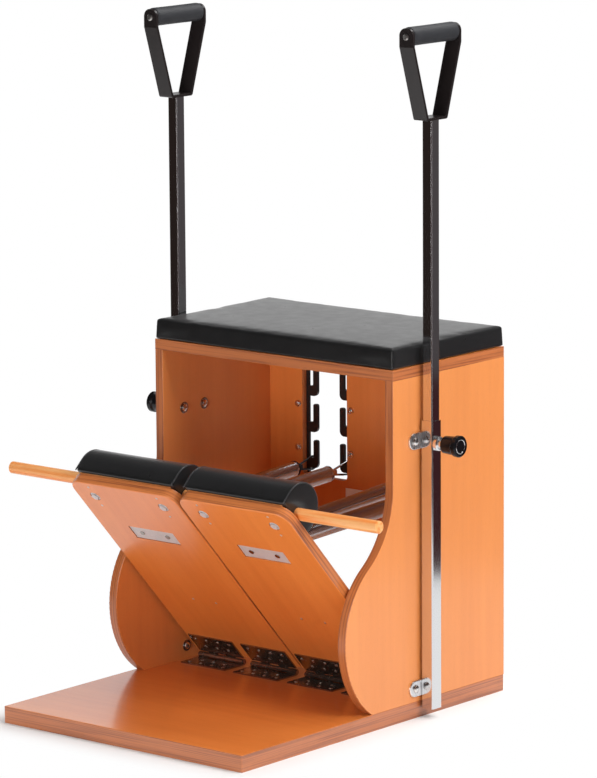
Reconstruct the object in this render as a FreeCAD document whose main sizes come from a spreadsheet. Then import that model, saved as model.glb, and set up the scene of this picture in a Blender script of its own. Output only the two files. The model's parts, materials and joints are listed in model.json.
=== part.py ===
"""Pilates chair with two hinged pedals, coil springs and push-up poles.

The frame stands with +Z up and its origin at the middle of the base's
underside.  The pedals point to the front, which is -Y.  Lengths are in
millimetres and angles in degrees.
"""
import FreeCAD, Part
import enum
import math
import os
import re
from types import SimpleNamespace

import Sketcher

Vector = FreeCAD.Vector
AXIS_X = Vector(1, 0, 0)
AXIS_Y = Vector(0, 1, 0)
AXIS_Z = Vector(0, 0, 1)
SIDES = {"left": -1, "right": 1}
SEATS = {"outer": 1, "inner": -1}

# Driving dimensions
SIZES = {
    # base and box
    "base_width": 550.0,
    "base_depth": 730.0,
    "base_thick": 30.0,
    "base_corner": 2.0,
    "base_round": 1.0,
    "panel_thick": 18.0,
    "panel_round": 1.5,
    "seat_depth": 318.0,
    "seat_height": 612.0,
    "seat_board_thick": 19.0,
    "seat_board_corner": 1.0,
    "belly_reach": 134.0,
    "belly_height": 163.0,
    "belly_radius": 158.0,
    "waist_radius": 167.0,
    "back_thick": 12.0,
    "back_height": 342.0,
    "slot_width": 106.0,
    "slot_drop": 50.0,
    "slot_height": 217.0,
    "slot_corner": 8.0,
    # seat cushion
    "cushion_thick": 37.0,
    "cushion_crown": 5.0,
    "cushion_overhang": 1.5,
    "cushion_draw": 1.5,
    "cushion_corner": 8.0,
    "cushion_rim": 6.0,
    "soft_gap": 0.3,
    # spring hook plates behind the slots
    "hook_plate_thick": 5.0,
    "hook_plate_strip": 27.0,
    "hook_plate_margin": 2.0,
    "hook_plate_foot": 9.5,
    "hook_plate_round": 4.0,
    "hook_bottom_round": 10.0,
    "hook_rise": 11.5,
    "hook_pitch": 68.0,
    "hook_arm": 19.0,
    "hook_prong_width": 11.0,
    "hook_prong_rise": 34.5,
    "hook_gap": 10.0,
    "hook_spread": 31.5,
    "hook_plate_bolt_rise": 51.0,
    "hook_plate_bolt_pitch": 82.0,
    "hook_plate_bolt_inset": 9.5,
    # bolts through the boards
    "bolt_radius": 3.0,
    "bolt_head_radius": 6.5,
    "bolt_head_thick": 4.5,
    "bolt_crown_share": 0.6,
    "bolt_rim_share": 0.4,
    "bolt_play": 0.2,
    # pole sleeves and their flanges
    "sleeve_size": 26.0,
    "sleeve_wall": 1.8,
    "sleeve_corner": 3.0,
    "sleeve_inner_corner": 1.0,
    "sleeve_lift": 17.5,
    "sleeve_drop": 78.0,
    "bracket_thick": 4.0,
    "bracket_length": 88.0,
    "bracket_height": 30.0,
    "bracket_round": 1.5,
    "bracket_drop": 36.0,
    "bracket_lift": 24.0,
    "bracket_bolt_spread": 28.0,
    # clamp knobs
    "clamp_drop": 40.0,
    "boss_radius": 12.5,
    "boss_length": 8.0,
    "boss_side_share": 0.8,
    "boss_face_share": 0.85,
    "neck_radius": 8.5,
    "neck_length": 9.0,
    "stud_radius": 5.0,
    "stud_play": 0.05,
    "stud_point_share": 0.3,
    "stud_tip_gap": 0.3,
    "knob_length": 36.0,
    "knob_radius": 15.5,
    "knob_flange_radius": 19.0,
    "knob_flange_thick": 9.0,
    "knob_round": 2.0,
    "knob_swell_share": 0.3,
    "knob_neck_share": 0.85,
    "knob_dish": 1.5,
    "knob_rim": 4.0,
    "stud_grip": 20.0,
    # poles
    "pole_size": 22.0,
    "pole_wall": 1.5,
    "pole_corner": 3.0,
    "pole_insert": 354.0,
    "pole_rise": 528.0,
    "pole_setback": 85.0,
    # handles
    "strap_width": 30.0,
    "strap_thick": 5.0,
    "strap_foot": 28.0,
    "strap_reach": 67.5,
    "strap_bend": 18.0,
    "strap_round": 5.0,
    "strap_end_round": 14.0,
    "grip_rise": 148.0,
    "grip_radius": 16.5,
    "grip_round": 3.0,
    "rod_radius": 5.0,
    "rod_head_radius": 6.0,
    "rod_head_thick": 3.5,
    "rod_crown_share": 0.7,
    "rod_rim_share": 0.5,
    # pedals
    "pedal_angle": 47.08,
    "pedal_thick": 20.0,
    "pedal_reach": 513.0,
    "pedal_heel": 9.0,
    "pedal_side_gap": 6.0,
    "pedal_middle_gap": 4.0,
    "pedal_corner": 28.0,
    "pedal_round": 3.0,
    "hinge_back": 240.5,
    # pedal pads and the dowel that joins them
    "pad_setback": 39.0,
    "pad_length": 228.0,
    "pad_width": 92.0,
    "pad_height": 70.0,
    "pad_skin": 8.0,
    "pad_round": 4.0,
    "dowel_radius": 11.0,
    "dowel_length": 850.0,
    "dowel_shift": -5.0,
    "dowel_rise": 12.0,
    "dowel_play": 0.1,
    "dowel_hole_play": 1.0,
    "dowel_chamfer": 2.5,
    "lock_spread": 80.0,
    "lock_radius": 4.0,
    "lock_head_across": 13.0,
    "lock_head_thick": 3.0,
    "lock_washer_radius": 10.0,
    "lock_washer_thick": 1.5,
    "lock_well_play": 0.5,
    "lock_well_depth": 2.5,
    "lock_tip_gap": 0.3,
    # spring anchors on the pedals
    "plate_length": 104.0,
    "plate_width": 34.0,
    "plate_thick": 3.0,
    "plate_sink": 1.5,
    "plate_play": 0.3,
    "anchor_setback": 98.0,
    "anchor_spread": 29.6,
    "eye_inner": 11.0,
    "eye_wire": 5.0,
    "eye_rise": 17.0,
    "anchor_head_radius": 5.0,
    "anchor_head_thick": 1.2,
    # hinges
    "knuckle_radius": 6.0,
    "knuckle_clearance": 0.3,
    "knuckle_gap": 0.4,
    "pin_radius": 3.0,
    "pin_play": 0.05,
    "pin_head_radius": 4.0,
    "pin_head_thick": 1.5,
    "leaf_thick": 2.5,
    "leaf_length": 55.0,
    "leaf_width": 105.0,
    "hinge_spread": 62.7,
    # springs
    "coil_radius": 12.5,
    "coil_wire": 4.0,
    "coil_turn_in": 6.0,
    "link_wire": 4.0,
    "link_play": 0.35,
    "link_tip": 40.0,
    "link_pin_radius": 1.8,
    "cheek_thick": 3.0,
    "cheek_height": 9.0,
    "cheek_play": 0.5,
    "cheek_back": 4.5,
    "cap_nose_radius": 7.0,
    "cap_nose_gap": 2.0,
    "cap_nose_length": 5.0,
    "cap_radius": 15.0,
    "cap_rim": 3.0,
    "hook_ring_radius": 13.5,
    "hook_wire": 4.0,
    "hook_tail": 3.0,
    # allowances: how far a cut passes its work, how near counts as meeting, least room between turns
    "overrun": 1.0,
    "near_gap": 0.001,
    "turn_gap": 0.4,
}
HOOK_COUNT = 3
KNUCKLE_COUNT = 5
COIL_TURNS = 20
HALF_TURNS_PER_TURN = 2
POINTS_PER_ARC = 6
SLACK_SHARE = 1e-6  # share of a length within which two directions count as the same
SWEEP_SHARE = 0.02  # share of a swept wire's volume that its bends may cost
START, END, CENTRE = enum.IntEnum("EdgePoint", "START END CENTRE")  # the points of a sketched edge

# Places worked out from the driving dimensions
PLACES = {
    "half_width": "base_width / 2",
    "back_edge": "base_depth / 2",
    "seat_front": "back_edge - seat_depth",
    "inner_face": "half_width - panel_thick",
    "cushion_base": "seat_height + seat_board_thick + soft_gap",
    "cushion_width": "base_width + 2 * cushion_overhang",
    "cushion_depth": "seat_depth + 2 * cushion_overhang",
    "back_foot": "seat_height - back_height",
    "slot_top": "seat_height - slot_drop",
    "slot_foot": "slot_top - slot_height",
    "sleeve_high": "seat_height - sleeve_drop",
    "bracket_upper": "sleeve_high - bracket_drop",
    "bracket_lower": "base_thick + bracket_lift",
    "clamp_height": "sleeve_high - clamp_drop",
    "pole_low": "sleeve_high - pole_insert",
    "pole_high": "sleeve_high + pole_rise",
    "pad_reach": "pedal_reach - pad_setback",
    "anchor_reach": "pad_reach - anchor_setback",
    "pedal_width": "inner_face - pedal_side_gap - pedal_middle_gap / 2",
    "pedal_centre": "pedal_middle_gap / 2 + pedal_width / 2",
    "hinge_offset": "knuckle_radius + knuckle_clearance",
    "hinge_depth": "back_edge - hinge_back",
    "hinge_rise": "base_thick + hinge_offset",
    "board_low": "hinge_offset",
    "board_top": "hinge_offset + pedal_thick",
    "dowel_axis": "board_top + dowel_rise",
    "eye_axis": "board_top + eye_rise",
    "plate_low": "board_low + plate_sink",
    "lock_well_radius": "lock_washer_radius + lock_well_play",
    "pole_depth": "seat_front + pole_setback",
    "sleeve_centre": "half_width + bracket_thick + sleeve_size / 2",
    "sleeve_outer": "sleeve_centre + sleeve_size / 2",
    "sleeve_bore": "sleeve_size - 2 * sleeve_wall",
    "back_rear": "back_edge - hook_plate_thick",
    "strip_edge": "hook_spread + hook_prong_width / 2 + hook_gap",
    "hook_centre": "strip_edge - hook_gap / 2",
    "hook_plate_bolt_spread": "slot_width / 2 + hook_plate_bolt_inset",
    "hook_axis_depth": "back_edge - hook_plate_thick / 2",
    "hook_first": "slot_foot + hook_rise",
    "hook_plate_bolt_low": "slot_foot + hook_plate_bolt_rise",
    "hook_plate_bolt_high": "hook_plate_bolt_low + hook_plate_bolt_pitch",
    "hook_axis_rise": "hook_first + hook_arm / 2",
    "hook_plate_top": "hook_first + hook_arm + hook_prong_rise + hook_plate_margin",
    "link_radius": "sqrt((hook_arm / 2)^2 + (hook_plate_thick / 2)^2) + link_play + link_wire / 2",
    "link_nose_radius": "link_pin_radius + link_play + link_wire / 2",
    "strap_knee": "grip_rise - strap_bend",
    "strap_top": "grip_rise + strap_width / 2",
    "strap_lean": "atan((strap_reach - strap_foot) / strap_knee)",
    "grip_half": "strap_reach - strap_thick - soft_gap",
    "stud_start": "sleeve_centre + pole_size / 2 + stud_tip_gap",
    "neck_start": "sleeve_outer + boss_length",
    "knob_start": "neck_start + neck_length",
}

doc = FreeCAD.newDocument("PilatesChair")
sheet = doc.addObject("Spreadsheet::Sheet", "Sizes")
places = doc.addObject("Spreadsheet::Sheet", "Places")
WORD = re.compile(r"[a-z][a-z_]*")


def cells(text, home=None):
    """Turn the plain names in an expression into references to the sheets."""
    def reference(match):
        word = match.group()
        if word in SIZES:
            return "Sizes." + word
        if word in PLACES and home is not places:
            return "Places." + word
        return word
    return WORD.sub(reference, text)


for row, (name, value) in enumerate(SIZES.items(), start=1):
    sheet.set("A%d" % row, name)
    sheet.set("B%d" % row, str(value))
    sheet.setAlias("B%d" % row, name)
doc.recompute()
for row, (name, formula) in enumerate(PLACES.items(), start=1):
    places.set("A%d" % row, name)
    places.set("B%d" % row, "=" + cells(formula, places))
    places.setAlias("B%d" % row, name)
doc.recompute()


def number(cell):
    """A sheet value as a plain number."""
    return float(getattr(cell, "Value", cell))


N = SimpleNamespace(**SIZES)
for name in PLACES:
    setattr(N, name, number(places.get(name)))

PIECES = []


def piece(obj, label):
    """Name an object and keep it as one of the chair's pieces."""
    obj.Label = label
    PIECES.append(obj)
    return obj


def bind(obj, prop, text):
    obj.setExpression(prop, cells(text))


def place(obj, x="0", y="0", z="0", axis=None, angle="0"):
    """Bind an object's placement to the sheets."""
    if axis is not None:
        obj.Placement = FreeCAD.Placement(Vector(), FreeCAD.Rotation(axis, 1))
        bind(obj, "Placement.Rotation.Angle", angle)
    bind(obj, "Placement.Base.x", x)
    bind(obj, "Placement.Base.y", y)
    bind(obj, "Placement.Base.z", z)
    return obj


def on_pedal(obj, side):
    """Set an object that was drawn on a level pedal to the pedal's rest angle."""
    return place(obj, "%d * pedal_centre" % side, "hinge_depth", "hinge_rise", AXIS_X, "-pedal_angle")


# Sketches and features

def new_body(name):
    return doc.addObject("PartDesign::Body", name)


def sketch_on(body, role):
    sketch = body.newObject("Sketcher::SketchObject", body.Name + "_sketch")
    plane = [item for item in body.Origin.OriginFeatures if item.Role == role][0]
    sketch.AttachmentSupport = [(plane, "")]
    sketch.MapMode = "FlatFace"
    return sketch


def fix_point(sketch, geometry, corner, x, y):
    """Tie one point of a sketch to two expressions."""
    here = sketch.getPoint(geometry, corner)
    for kind, text, now in (("DistanceX", x, here.x), ("DistanceY", y, here.y)):
        index = sketch.addConstraint(Sketcher.Constraint(kind, -1, 1, geometry, corner, now))
        sketch.setExpression("Constraints[%d]" % index, cells(text))


def fix_size(sketch, kind, geometry, text, start):
    index = sketch.addConstraint(Sketcher.Constraint(kind, geometry, start))
    sketch.setExpression("Constraints[%d]" % index, cells(text))


def polygon(sketch, corners):
    """Close a run of lines through corners, each a pair of expressions."""
    first = sketch.GeometryCount
    count = len(corners)
    turns = [2 * math.pi * i / count for i in range(count)]
    rough = [Vector(math.cos(a), math.sin(a), 0) * N.slot_width for a in turns]
    for i in range(count):
        sketch.addGeometry(Part.LineSegment(rough[i], rough[(i + 1) % count]))
    for i, (x, y) in enumerate(corners):
        following = first + (i + 1) % count
        sketch.addConstraint(Sketcher.Constraint("Coincident", first + i, END, following, START))
        fix_point(sketch, first + i, START, x, y)


def rectangle(sketch, low_x, low_y, high_x, high_y):
    polygon(sketch, [(low_x, low_y), (high_x, low_y), (high_x, high_y), (low_x, high_y)])


def centred(sketch, width, depth):
    rectangle(sketch, "-(%s) / 2" % width, "-(%s) / 2" % depth, "(%s) / 2" % width, "(%s) / 2" % depth)


def round_ended(sketch, length, height):
    """Close a strip about the origin whose ends are half circles."""
    straight = "((%s) - (%s)) / 2" % (length, height)
    radius = "(%s) / 2" % height
    reach = N.slot_width
    top, bottom = Vector(0, reach, 0), Vector(0, -reach, 0)
    ahead = AXIS_X * reach
    quarter = math.pi / 2
    sketch.addGeometry(Part.LineSegment(top - ahead, top + ahead))
    sketch.addGeometry(Part.ArcOfCircle(Part.Circle(ahead, AXIS_Z, reach), -quarter, quarter))
    sketch.addGeometry(Part.LineSegment(bottom + ahead, bottom - ahead))
    sketch.addGeometry(Part.ArcOfCircle(Part.Circle(-ahead, AXIS_Z, reach), quarter, 3 * quarter))
    upper, right, lower, left = range(4)
    for pair in ((upper, END, right, END), (right, START, lower, START), (lower, END, left, END),
                 (left, START, upper, START)):
        sketch.addConstraint(Sketcher.Constraint("Tangent", *pair))
    fix_point(sketch, right, CENTRE, straight, "0")
    fix_point(sketch, left, CENTRE, "-" + straight, "0")
    fix_size(sketch, "Radius", right, radius, reach)


def circle(sketch, x, y, radius):
    index = sketch.addGeometry(Part.Circle(Vector(), AXIS_Z, N.bolt_radius))
    fix_point(sketch, index, CENTRE, x, y)
    fix_size(sketch, "Radius", index, radius, N.bolt_radius)


def pad(body, sketch, length, symmetric=True):
    feature = body.newObject("PartDesign::Pad", body.Name + "_pad")
    feature.Profile = sketch
    bind(feature, "Length", length)
    if symmetric:
        feature.SideType = "Symmetric"
    doc.recompute()
    return feature


def pocket(body, sketch, depth=None, reverse=False):
    """Cut a sketch right through, or to a depth, and check that it cut."""
    before = body.Shape.Volume
    feature = body.newObject("PartDesign::Pocket", body.Name + "_pocket")
    feature.Profile = sketch
    feature.Reversed = reverse
    if depth is None:
        feature.Type = "ThroughAll"
        feature.SideType = "Symmetric"
    else:
        bind(feature, "Length", depth)
    doc.recompute()
    if not body.Shape.Volume < before:
        raise RuntimeError("a pocket of %s cuts nothing" % body.Name)
    return feature


def round_edges(body, radius, chosen):
    """Fillet the edges of a body's last feature that a test picks."""
    base = body.Tip
    names = ["Edge%d" % (i + 1) for i, edge in enumerate(base.Shape.Edges) if chosen(edge)]
    feature = body.newObject("PartDesign::Fillet", body.Name + "_fillet")
    feature.Base = (base, names)
    bind(feature, "Radius", radius)
    doc.recompute()
    return feature


def along(edge, axis):
    """Whether an edge is straight and runs along an axis."""
    if len(edge.Vertexes) < 2:
        return False
    run = edge.Vertexes[1].Point - edge.Vertexes[0].Point
    return run.Length > 0 and run.cross(axis).Length < SLACK_SHARE * run.Length


def upright(edge):
    return along(edge, AXIS_Z)


def turned(name, outline):
    """A body of revolution about Z through pairs of radius and height."""
    body = new_body(name)
    sketch = sketch_on(body, "XZ_Plane")
    polygon(sketch, outline)
    feature = body.newObject("PartDesign::Revolution", name + "_turning")
    feature.Profile = sketch
    feature.ReferenceAxis = (sketch, ["V_Axis"])
    doc.recompute()
    return body


def feature_of(shape, name):
    """A document object for a shape made by Part's own functions."""
    obj = doc.addObject("Part::Feature", name)
    obj.Shape = shape
    return obj


def frame_at(origin, x_axis, z_axis):
    """The placement of a local frame from its origin and two of its axes."""
    y_axis = z_axis.cross(x_axis)
    turn = FreeCAD.Rotation(x_axis, y_axis, z_axis, "ZXY")
    return FreeCAD.Placement(origin, turn)


def moved(shape, origin, z_axis):
    """A copy of a shape with its Z axis turned to a direction."""
    copy = shape.copy()
    copy.Placement = FreeCAD.Placement(origin, FreeCAD.Rotation(AXIS_Z, z_axis)).multiply(shape.Placement)
    return copy


def pedal_frame(side):
    """The placement of one pedal, hinge axis at its origin and free end along -Y."""
    origin = Vector(side * N.pedal_centre, N.hinge_depth, N.hinge_rise)
    return FreeCAD.Placement(origin, FreeCAD.Rotation(AXIS_X, -N.pedal_angle))


# Base, panels and seat

def base_board():
    body = piece(new_body("base_board"), "base_board")
    sketch = sketch_on(body, "XY_Plane")
    centred(sketch, "base_width", "base_depth")
    pad(body, sketch, "base_thick", symmetric=False)
    round_edges(body, "base_corner", upright)
    round_edges(body, "base_round", lambda edge: edge.BoundBox.ZMin > N.base_thick - N.near_gap)


def side_panel(word, side):
    """A panel whose front edge swells low down and draws in to the waist."""
    body = piece(new_body(word + "_side_panel"), word + "_side_panel")
    sketch = sketch_on(body, "YZ_Plane")
    belly = Vector(N.seat_front - N.belly_reach + N.belly_radius, N.belly_height, 0)
    waist_y = N.seat_front - N.waist_radius
    rise = math.sqrt((N.belly_radius + N.waist_radius) ** 2 - (belly.x - waist_y) ** 2)
    waist = belly + Vector(waist_y - belly.x, rise, 0)
    meet = math.atan2(rise, waist_y - belly.x)
    foot = math.pi + math.asin((N.belly_height - N.base_thick) / N.belly_radius)
    foot_y = belly.x + N.belly_radius * math.cos(foot)
    low_back = Vector(N.back_edge, N.base_thick, 0)
    high_back = Vector(N.back_edge, N.seat_height, 0)
    high_front = Vector(N.seat_front, N.seat_height, 0)
    sketch.addGeometry(Part.LineSegment(low_back, Vector(foot_y, N.base_thick, 0)))
    sketch.addGeometry(Part.ArcOfCircle(Part.Circle(belly, AXIS_Z, N.belly_radius), meet, foot))
    sketch.addGeometry(Part.ArcOfCircle(Part.Circle(waist, AXIS_Z, N.waist_radius), meet - math.pi, 0))
    sketch.addGeometry(Part.LineSegment(Vector(N.seat_front, waist.y, 0), high_front))
    sketch.addGeometry(Part.LineSegment(high_front, high_back))
    sketch.addGeometry(Part.LineSegment(high_back, low_back))
    bottom, swell, draw, front, top, back = range(6)
    for pair in ((bottom, END, swell, END), (front, END, top, START), (top, END, back, START),
                 (back, END, bottom, START)):
        sketch.addConstraint(Sketcher.Constraint("Coincident", *pair))
    sketch.addConstraint(Sketcher.Constraint("Tangent", swell, START, draw, START))
    sketch.addConstraint(Sketcher.Constraint("Tangent", draw, END, front, START))
    for line in (bottom, top):
        sketch.addConstraint(Sketcher.Constraint("Horizontal", line))
    fix_point(sketch, bottom, START, "back_edge", "base_thick")
    fix_point(sketch, top, START, "seat_front", "seat_height")
    sketch.addConstraint(Sketcher.Constraint("Vertical", back))
    sketch.addConstraint(Sketcher.Constraint("Vertical", front))
    fix_point(sketch, swell, CENTRE, "seat_front - belly_reach + belly_radius", "belly_height")
    fix_size(sketch, "Radius", swell, "belly_radius", N.belly_radius)
    fix_size(sketch, "Radius", draw, "waist_radius", N.waist_radius)
    pad(body, sketch, "panel_thick")
    holes = sketch_on(body, "YZ_Plane")
    for rise_name in ("bracket_upper", "bracket_lower"):
        for shift in ("-bracket_bolt_spread", "bracket_bolt_spread"):
            circle(holes, "pole_depth + " + shift, rise_name, "bolt_radius + bolt_play")
    pocket(body, holes)

    def front_rim(edge):
        middle = edge.CenterOfMass
        flat = abs(edge.BoundBox.XLength) < N.near_gap
        forward = edge.BoundBox.YMax < N.seat_front + N.near_gap
        return flat and forward and edge.Length > N.panel_thick and abs(middle.x) > N.panel_thick / 4
    round_edges(body, "panel_round", front_rim)
    place(body, x="%d * (half_width - panel_thick / 2)" % side)


def back_panel():
    """The board across the back, with one slot behind each pedal."""
    body = piece(new_body("back_panel"), "back_panel")
    sketch = sketch_on(body, "XZ_Plane")
    rectangle(sketch, "-inner_face", "back_foot", "inner_face", "seat_height")
    pad(body, sketch, "back_thick")
    slots = sketch_on(body, "XZ_Plane")
    for side in SIDES.values():
        middle = "%d * pedal_centre" % side
        rectangle(slots, middle + " - slot_width / 2", "slot_foot", middle + " + slot_width / 2", "slot_top")
    pocket(body, slots)
    inner = (N.slot_foot, N.slot_top)

    def slot_corner(edge):
        height = edge.CenterOfMass.z
        return along(edge, AXIS_Y) and min(abs(height - level) for level in inner) < N.near_gap
    round_edges(body, "slot_corner", slot_corner)
    holes = sketch_on(body, "XZ_Plane")
    for side in SIDES.values():
        for seat in SEATS.values():
            for level in ("hook_plate_bolt_low", "hook_plate_bolt_high"):
                across = "%d * pedal_centre + %d * hook_plate_bolt_spread" % (side, seat * side)
                circle(holes, across, level, "bolt_radius + bolt_play")
    pocket(body, holes)
    place(body, y="back_rear - back_thick / 2")


def seat_board():
    body = piece(new_body("seat_board"), "seat_board")
    sketch = sketch_on(body, "XY_Plane")
    centred(sketch, "base_width", "seat_depth")
    pad(body, sketch, "seat_board_thick", symmetric=False)
    round_edges(body, "seat_board_corner", upright)
    place(body, y="back_edge - seat_depth / 2", z="seat_height")


def seat_cushion():
    """A box cushion with a crowned top and sides drawn in between its corners."""
    half_x = N.cushion_width / 2
    half_y = N.cushion_depth / 2
    corners = [Vector(x * half_x, y * half_y, 0) for x, y in ((-1, -1), (1, -1), (1, 1), (-1, 1))]
    sides = []
    for start, end in zip(corners, corners[1:] + corners[:1]):
        middle = (start + end) / 2
        inward = middle * ((middle.Length - N.cushion_draw) / middle.Length)
        sides.append(Part.Arc(start, inward, end).toShape())
    block = Part.Face(Part.Wire(sides)).extrude(AXIS_Z * N.cushion_thick)
    block = block.makeFillet(N.cushion_corner, [edge for edge in block.Edges if upright(edge)])
    reach = math.hypot(half_x, half_y)
    ball_radius = (reach ** 2 + N.cushion_crown ** 2) / (2 * N.cushion_crown)
    ball = Part.makeSphere(ball_radius, Vector(0, 0, N.cushion_thick - ball_radius))
    crowned = block.common(ball)
    rim = [edge for edge in crowned.Edges if edge.BoundBox.ZMin > N.cushion_thick - 2 * N.cushion_crown]
    cushion = piece(feature_of(crowned.makeFillet(N.cushion_rim, rim), "seat_cushion"), "seat_cushion")
    place(cushion, y="back_edge - seat_depth / 2", z="cushion_base")


# Spring hook plates

def hook_plate(word, side, seat_word, seat):
    """A plate behind a slot's edge with a row of upturned hooks."""
    label = "%s_%s_hook_plate" % (word, seat_word)
    body = piece(new_body(label), label)
    out = seat * side
    edge = "%d * strip_edge" % out
    sketch = sketch_on(body, "XZ_Plane")
    far = "%d * (strip_edge + hook_plate_strip)" % out
    top = "hook_plate_top + %d * hook_pitch" % (HOOK_COUNT - 1)
    rectangle(sketch, edge, "hook_first - hook_plate_foot", far, top)
    pad(body, sketch, "hook_plate_thick")
    hook = sketch_on(body, "XZ_Plane")
    prong_out = "%d * (strip_edge - hook_gap)" % out
    prong_in = "%d * (strip_edge - hook_gap - hook_prong_width)" % out
    arm_top = "hook_first + hook_arm"
    tip = "hook_first + hook_arm + hook_prong_rise"
    polygon(hook, [(edge, "hook_first"), (edge, arm_top), (prong_out, arm_top), (prong_out, tip),
                   (prong_in, tip), (prong_in, "hook_first")])
    first = pad(body, hook, "hook_plate_thick")
    row = body.newObject("PartDesign::LinearPattern", label + "_row")
    row.Originals = [first]
    row.Direction = (hook, ["V_Axis"])
    bind(row, "Length", "hook_pitch * %d" % (HOOK_COUNT - 1))
    row.Occurrences = HOOK_COUNT
    body.Tip = row
    doc.recompute()

    def prong_corner(line):
        centre = line.CenterOfMass
        return along(line, AXIS_Y) and abs(centre.x) < N.strip_edge - N.hook_gap / 2

    def hook_bottom(line):
        rise = (line.CenterOfMass.z - N.hook_first) / N.hook_pitch
        return prong_corner(line) and abs(rise - round(rise)) < SLACK_SHARE
    round_edges(body, "hook_bottom_round", hook_bottom)
    round_edges(body, "hook_plate_round", prong_corner)
    holes = sketch_on(body, "XZ_Plane")
    for level in ("hook_plate_bolt_low", "hook_plate_bolt_high"):
        circle(holes, "%d * hook_plate_bolt_spread" % out, level, "bolt_radius + bolt_play")
    pocket(body, holes)
    place(body, x="%d * pedal_centre" % side, y="hook_axis_depth")


def bolt_outline(grip):
    """A bolt from its head's top to its nut's top, by radius and height; the grip is what it clamps."""
    end = "(%s)" % grip
    crown = "bolt_crown_share * bolt_head_radius"
    rim = "bolt_rim_share * bolt_head_thick"
    return [("0", "-bolt_head_thick"), (crown, "-bolt_head_thick"), ("bolt_head_radius", "-" + rim),
            ("bolt_head_radius", "0"), ("bolt_radius", "0"), ("bolt_radius", end), ("bolt_head_radius", end),
            ("bolt_head_radius", "%s + %s" % (end, rim)), (crown, end + " + bolt_head_thick"),
            ("0", end + " + bolt_head_thick")]


def bolt_group(label, grip, spots, direction):
    """Identical bolts as one group, each set at a spot and turned to a direction."""
    pattern = turned(label + "_pattern", bolt_outline(grip))
    shapes = [moved(pattern.Shape, spot, direction(spot)) for spot in spots]
    piece(feature_of(Part.makeCompound(shapes), label), label)


def hook_plate_bolts():
    spots = []
    for side in SIDES.values():
        for seat in SEATS.values():
            for level in (N.hook_plate_bolt_low, N.hook_plate_bolt_high):
                across = side * (N.pedal_centre + seat * N.hook_plate_bolt_spread)
                spots.append(Vector(across, N.back_rear - N.back_thick, level))
    bolt_group("hook_plate_bolts", "back_thick + hook_plate_thick", spots, lambda spot: AXIS_Y)


# Pole sleeves, clamps and poles

def square_tube(label, size, bore, corner, inner_corner, low, high):
    body = new_body(label)
    sketch = sketch_on(body, "XY_Plane")
    centred(sketch, size, size)
    pad(body, sketch, "%s - %s" % (high, low), symmetric=False)
    round_edges(body, corner, upright)
    hollow = sketch_on(body, "XY_Plane")
    centred(hollow, bore, bore)
    pocket(body, hollow)
    if inner_corner is not None:
        round_edges(body, inner_corner, lambda edge: upright(edge) and at_bore(edge, body))
    return body


def at_bore(edge, body):
    """Whether an upright edge stands at a corner of a square tube's bore."""
    middle = edge.CenterOfMass
    reach = body.Shape.BoundBox.XMax
    diagonal = abs(abs(middle.x) - abs(middle.y)) < N.near_gap
    return diagonal and abs(middle.x) < reach - N.pole_wall / 2


def pole_sleeve(word, side):
    """The fixed square tube beside a panel, drilled for the clamp's stud."""
    label = word + "_sleeve"
    body = piece(square_tube(label, "sleeve_size", "sleeve_bore", "sleeve_corner", "sleeve_inner_corner",
                             "sleeve_lift", "sleeve_high"), label)
    hole = sketch_on(body, "YZ_Plane")
    circle(hole, "0", "clamp_height - sleeve_lift", "stud_radius + bolt_play")
    pocket(body, hole, "sleeve_size", reverse=side > 0)
    place(body, "%d * sleeve_centre" % side, "pole_depth", "sleeve_lift")


def sleeve_brackets(word, side):
    """The two round-ended flanges that hold a sleeve off its panel."""
    flanges = []
    for level in ("bracket_upper", "bracket_lower"):
        body = new_body("%s_%s" % (word, level))
        sketch = sketch_on(body, "YZ_Plane")
        round_ended(sketch, "bracket_length", "bracket_height")
        pad(body, sketch, "bracket_thick")
        outer_face = side * N.bracket_thick / 2
        round_edges(body, "bracket_round", lambda edge: abs(edge.CenterOfMass.x - outer_face) < N.near_gap)
        holes = sketch_on(body, "YZ_Plane")
        for shift in ("-bracket_bolt_spread", "bracket_bolt_spread"):
            circle(holes, shift, "0", "bolt_radius + bolt_play")
        pocket(body, holes)
        place(body, "%d * (half_width + bracket_thick / 2)" % side, "pole_depth", level)
        flanges.append(body)
    doc.recompute()
    pair = doc.addObject("Part::Compound", word + "_sleeve_brackets")
    pair.Links = flanges
    piece(pair, word + "_sleeve_brackets")


def bracket_bolts():
    spots = []
    for side in SIDES.values():
        for level in (N.bracket_upper, N.bracket_lower):
            for shift in (-N.bracket_bolt_spread, N.bracket_bolt_spread):
                spots.append(Vector(side * (N.half_width + N.bracket_thick), N.pole_depth + shift, level))
    bolt_group("bracket_bolts", "panel_thick + bracket_thick", spots,
               lambda spot: AXIS_X * (-1 if spot.x > 0 else 1))


def set_beside(body, side, start):
    """Lay a turned piece on the clamp's axis, pointing away from the chair."""
    place(body, "%d * (%s)" % (side, start), "pole_depth", "clamp_height", AXIS_Y, "%d * 90" % side)
    return body


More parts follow.
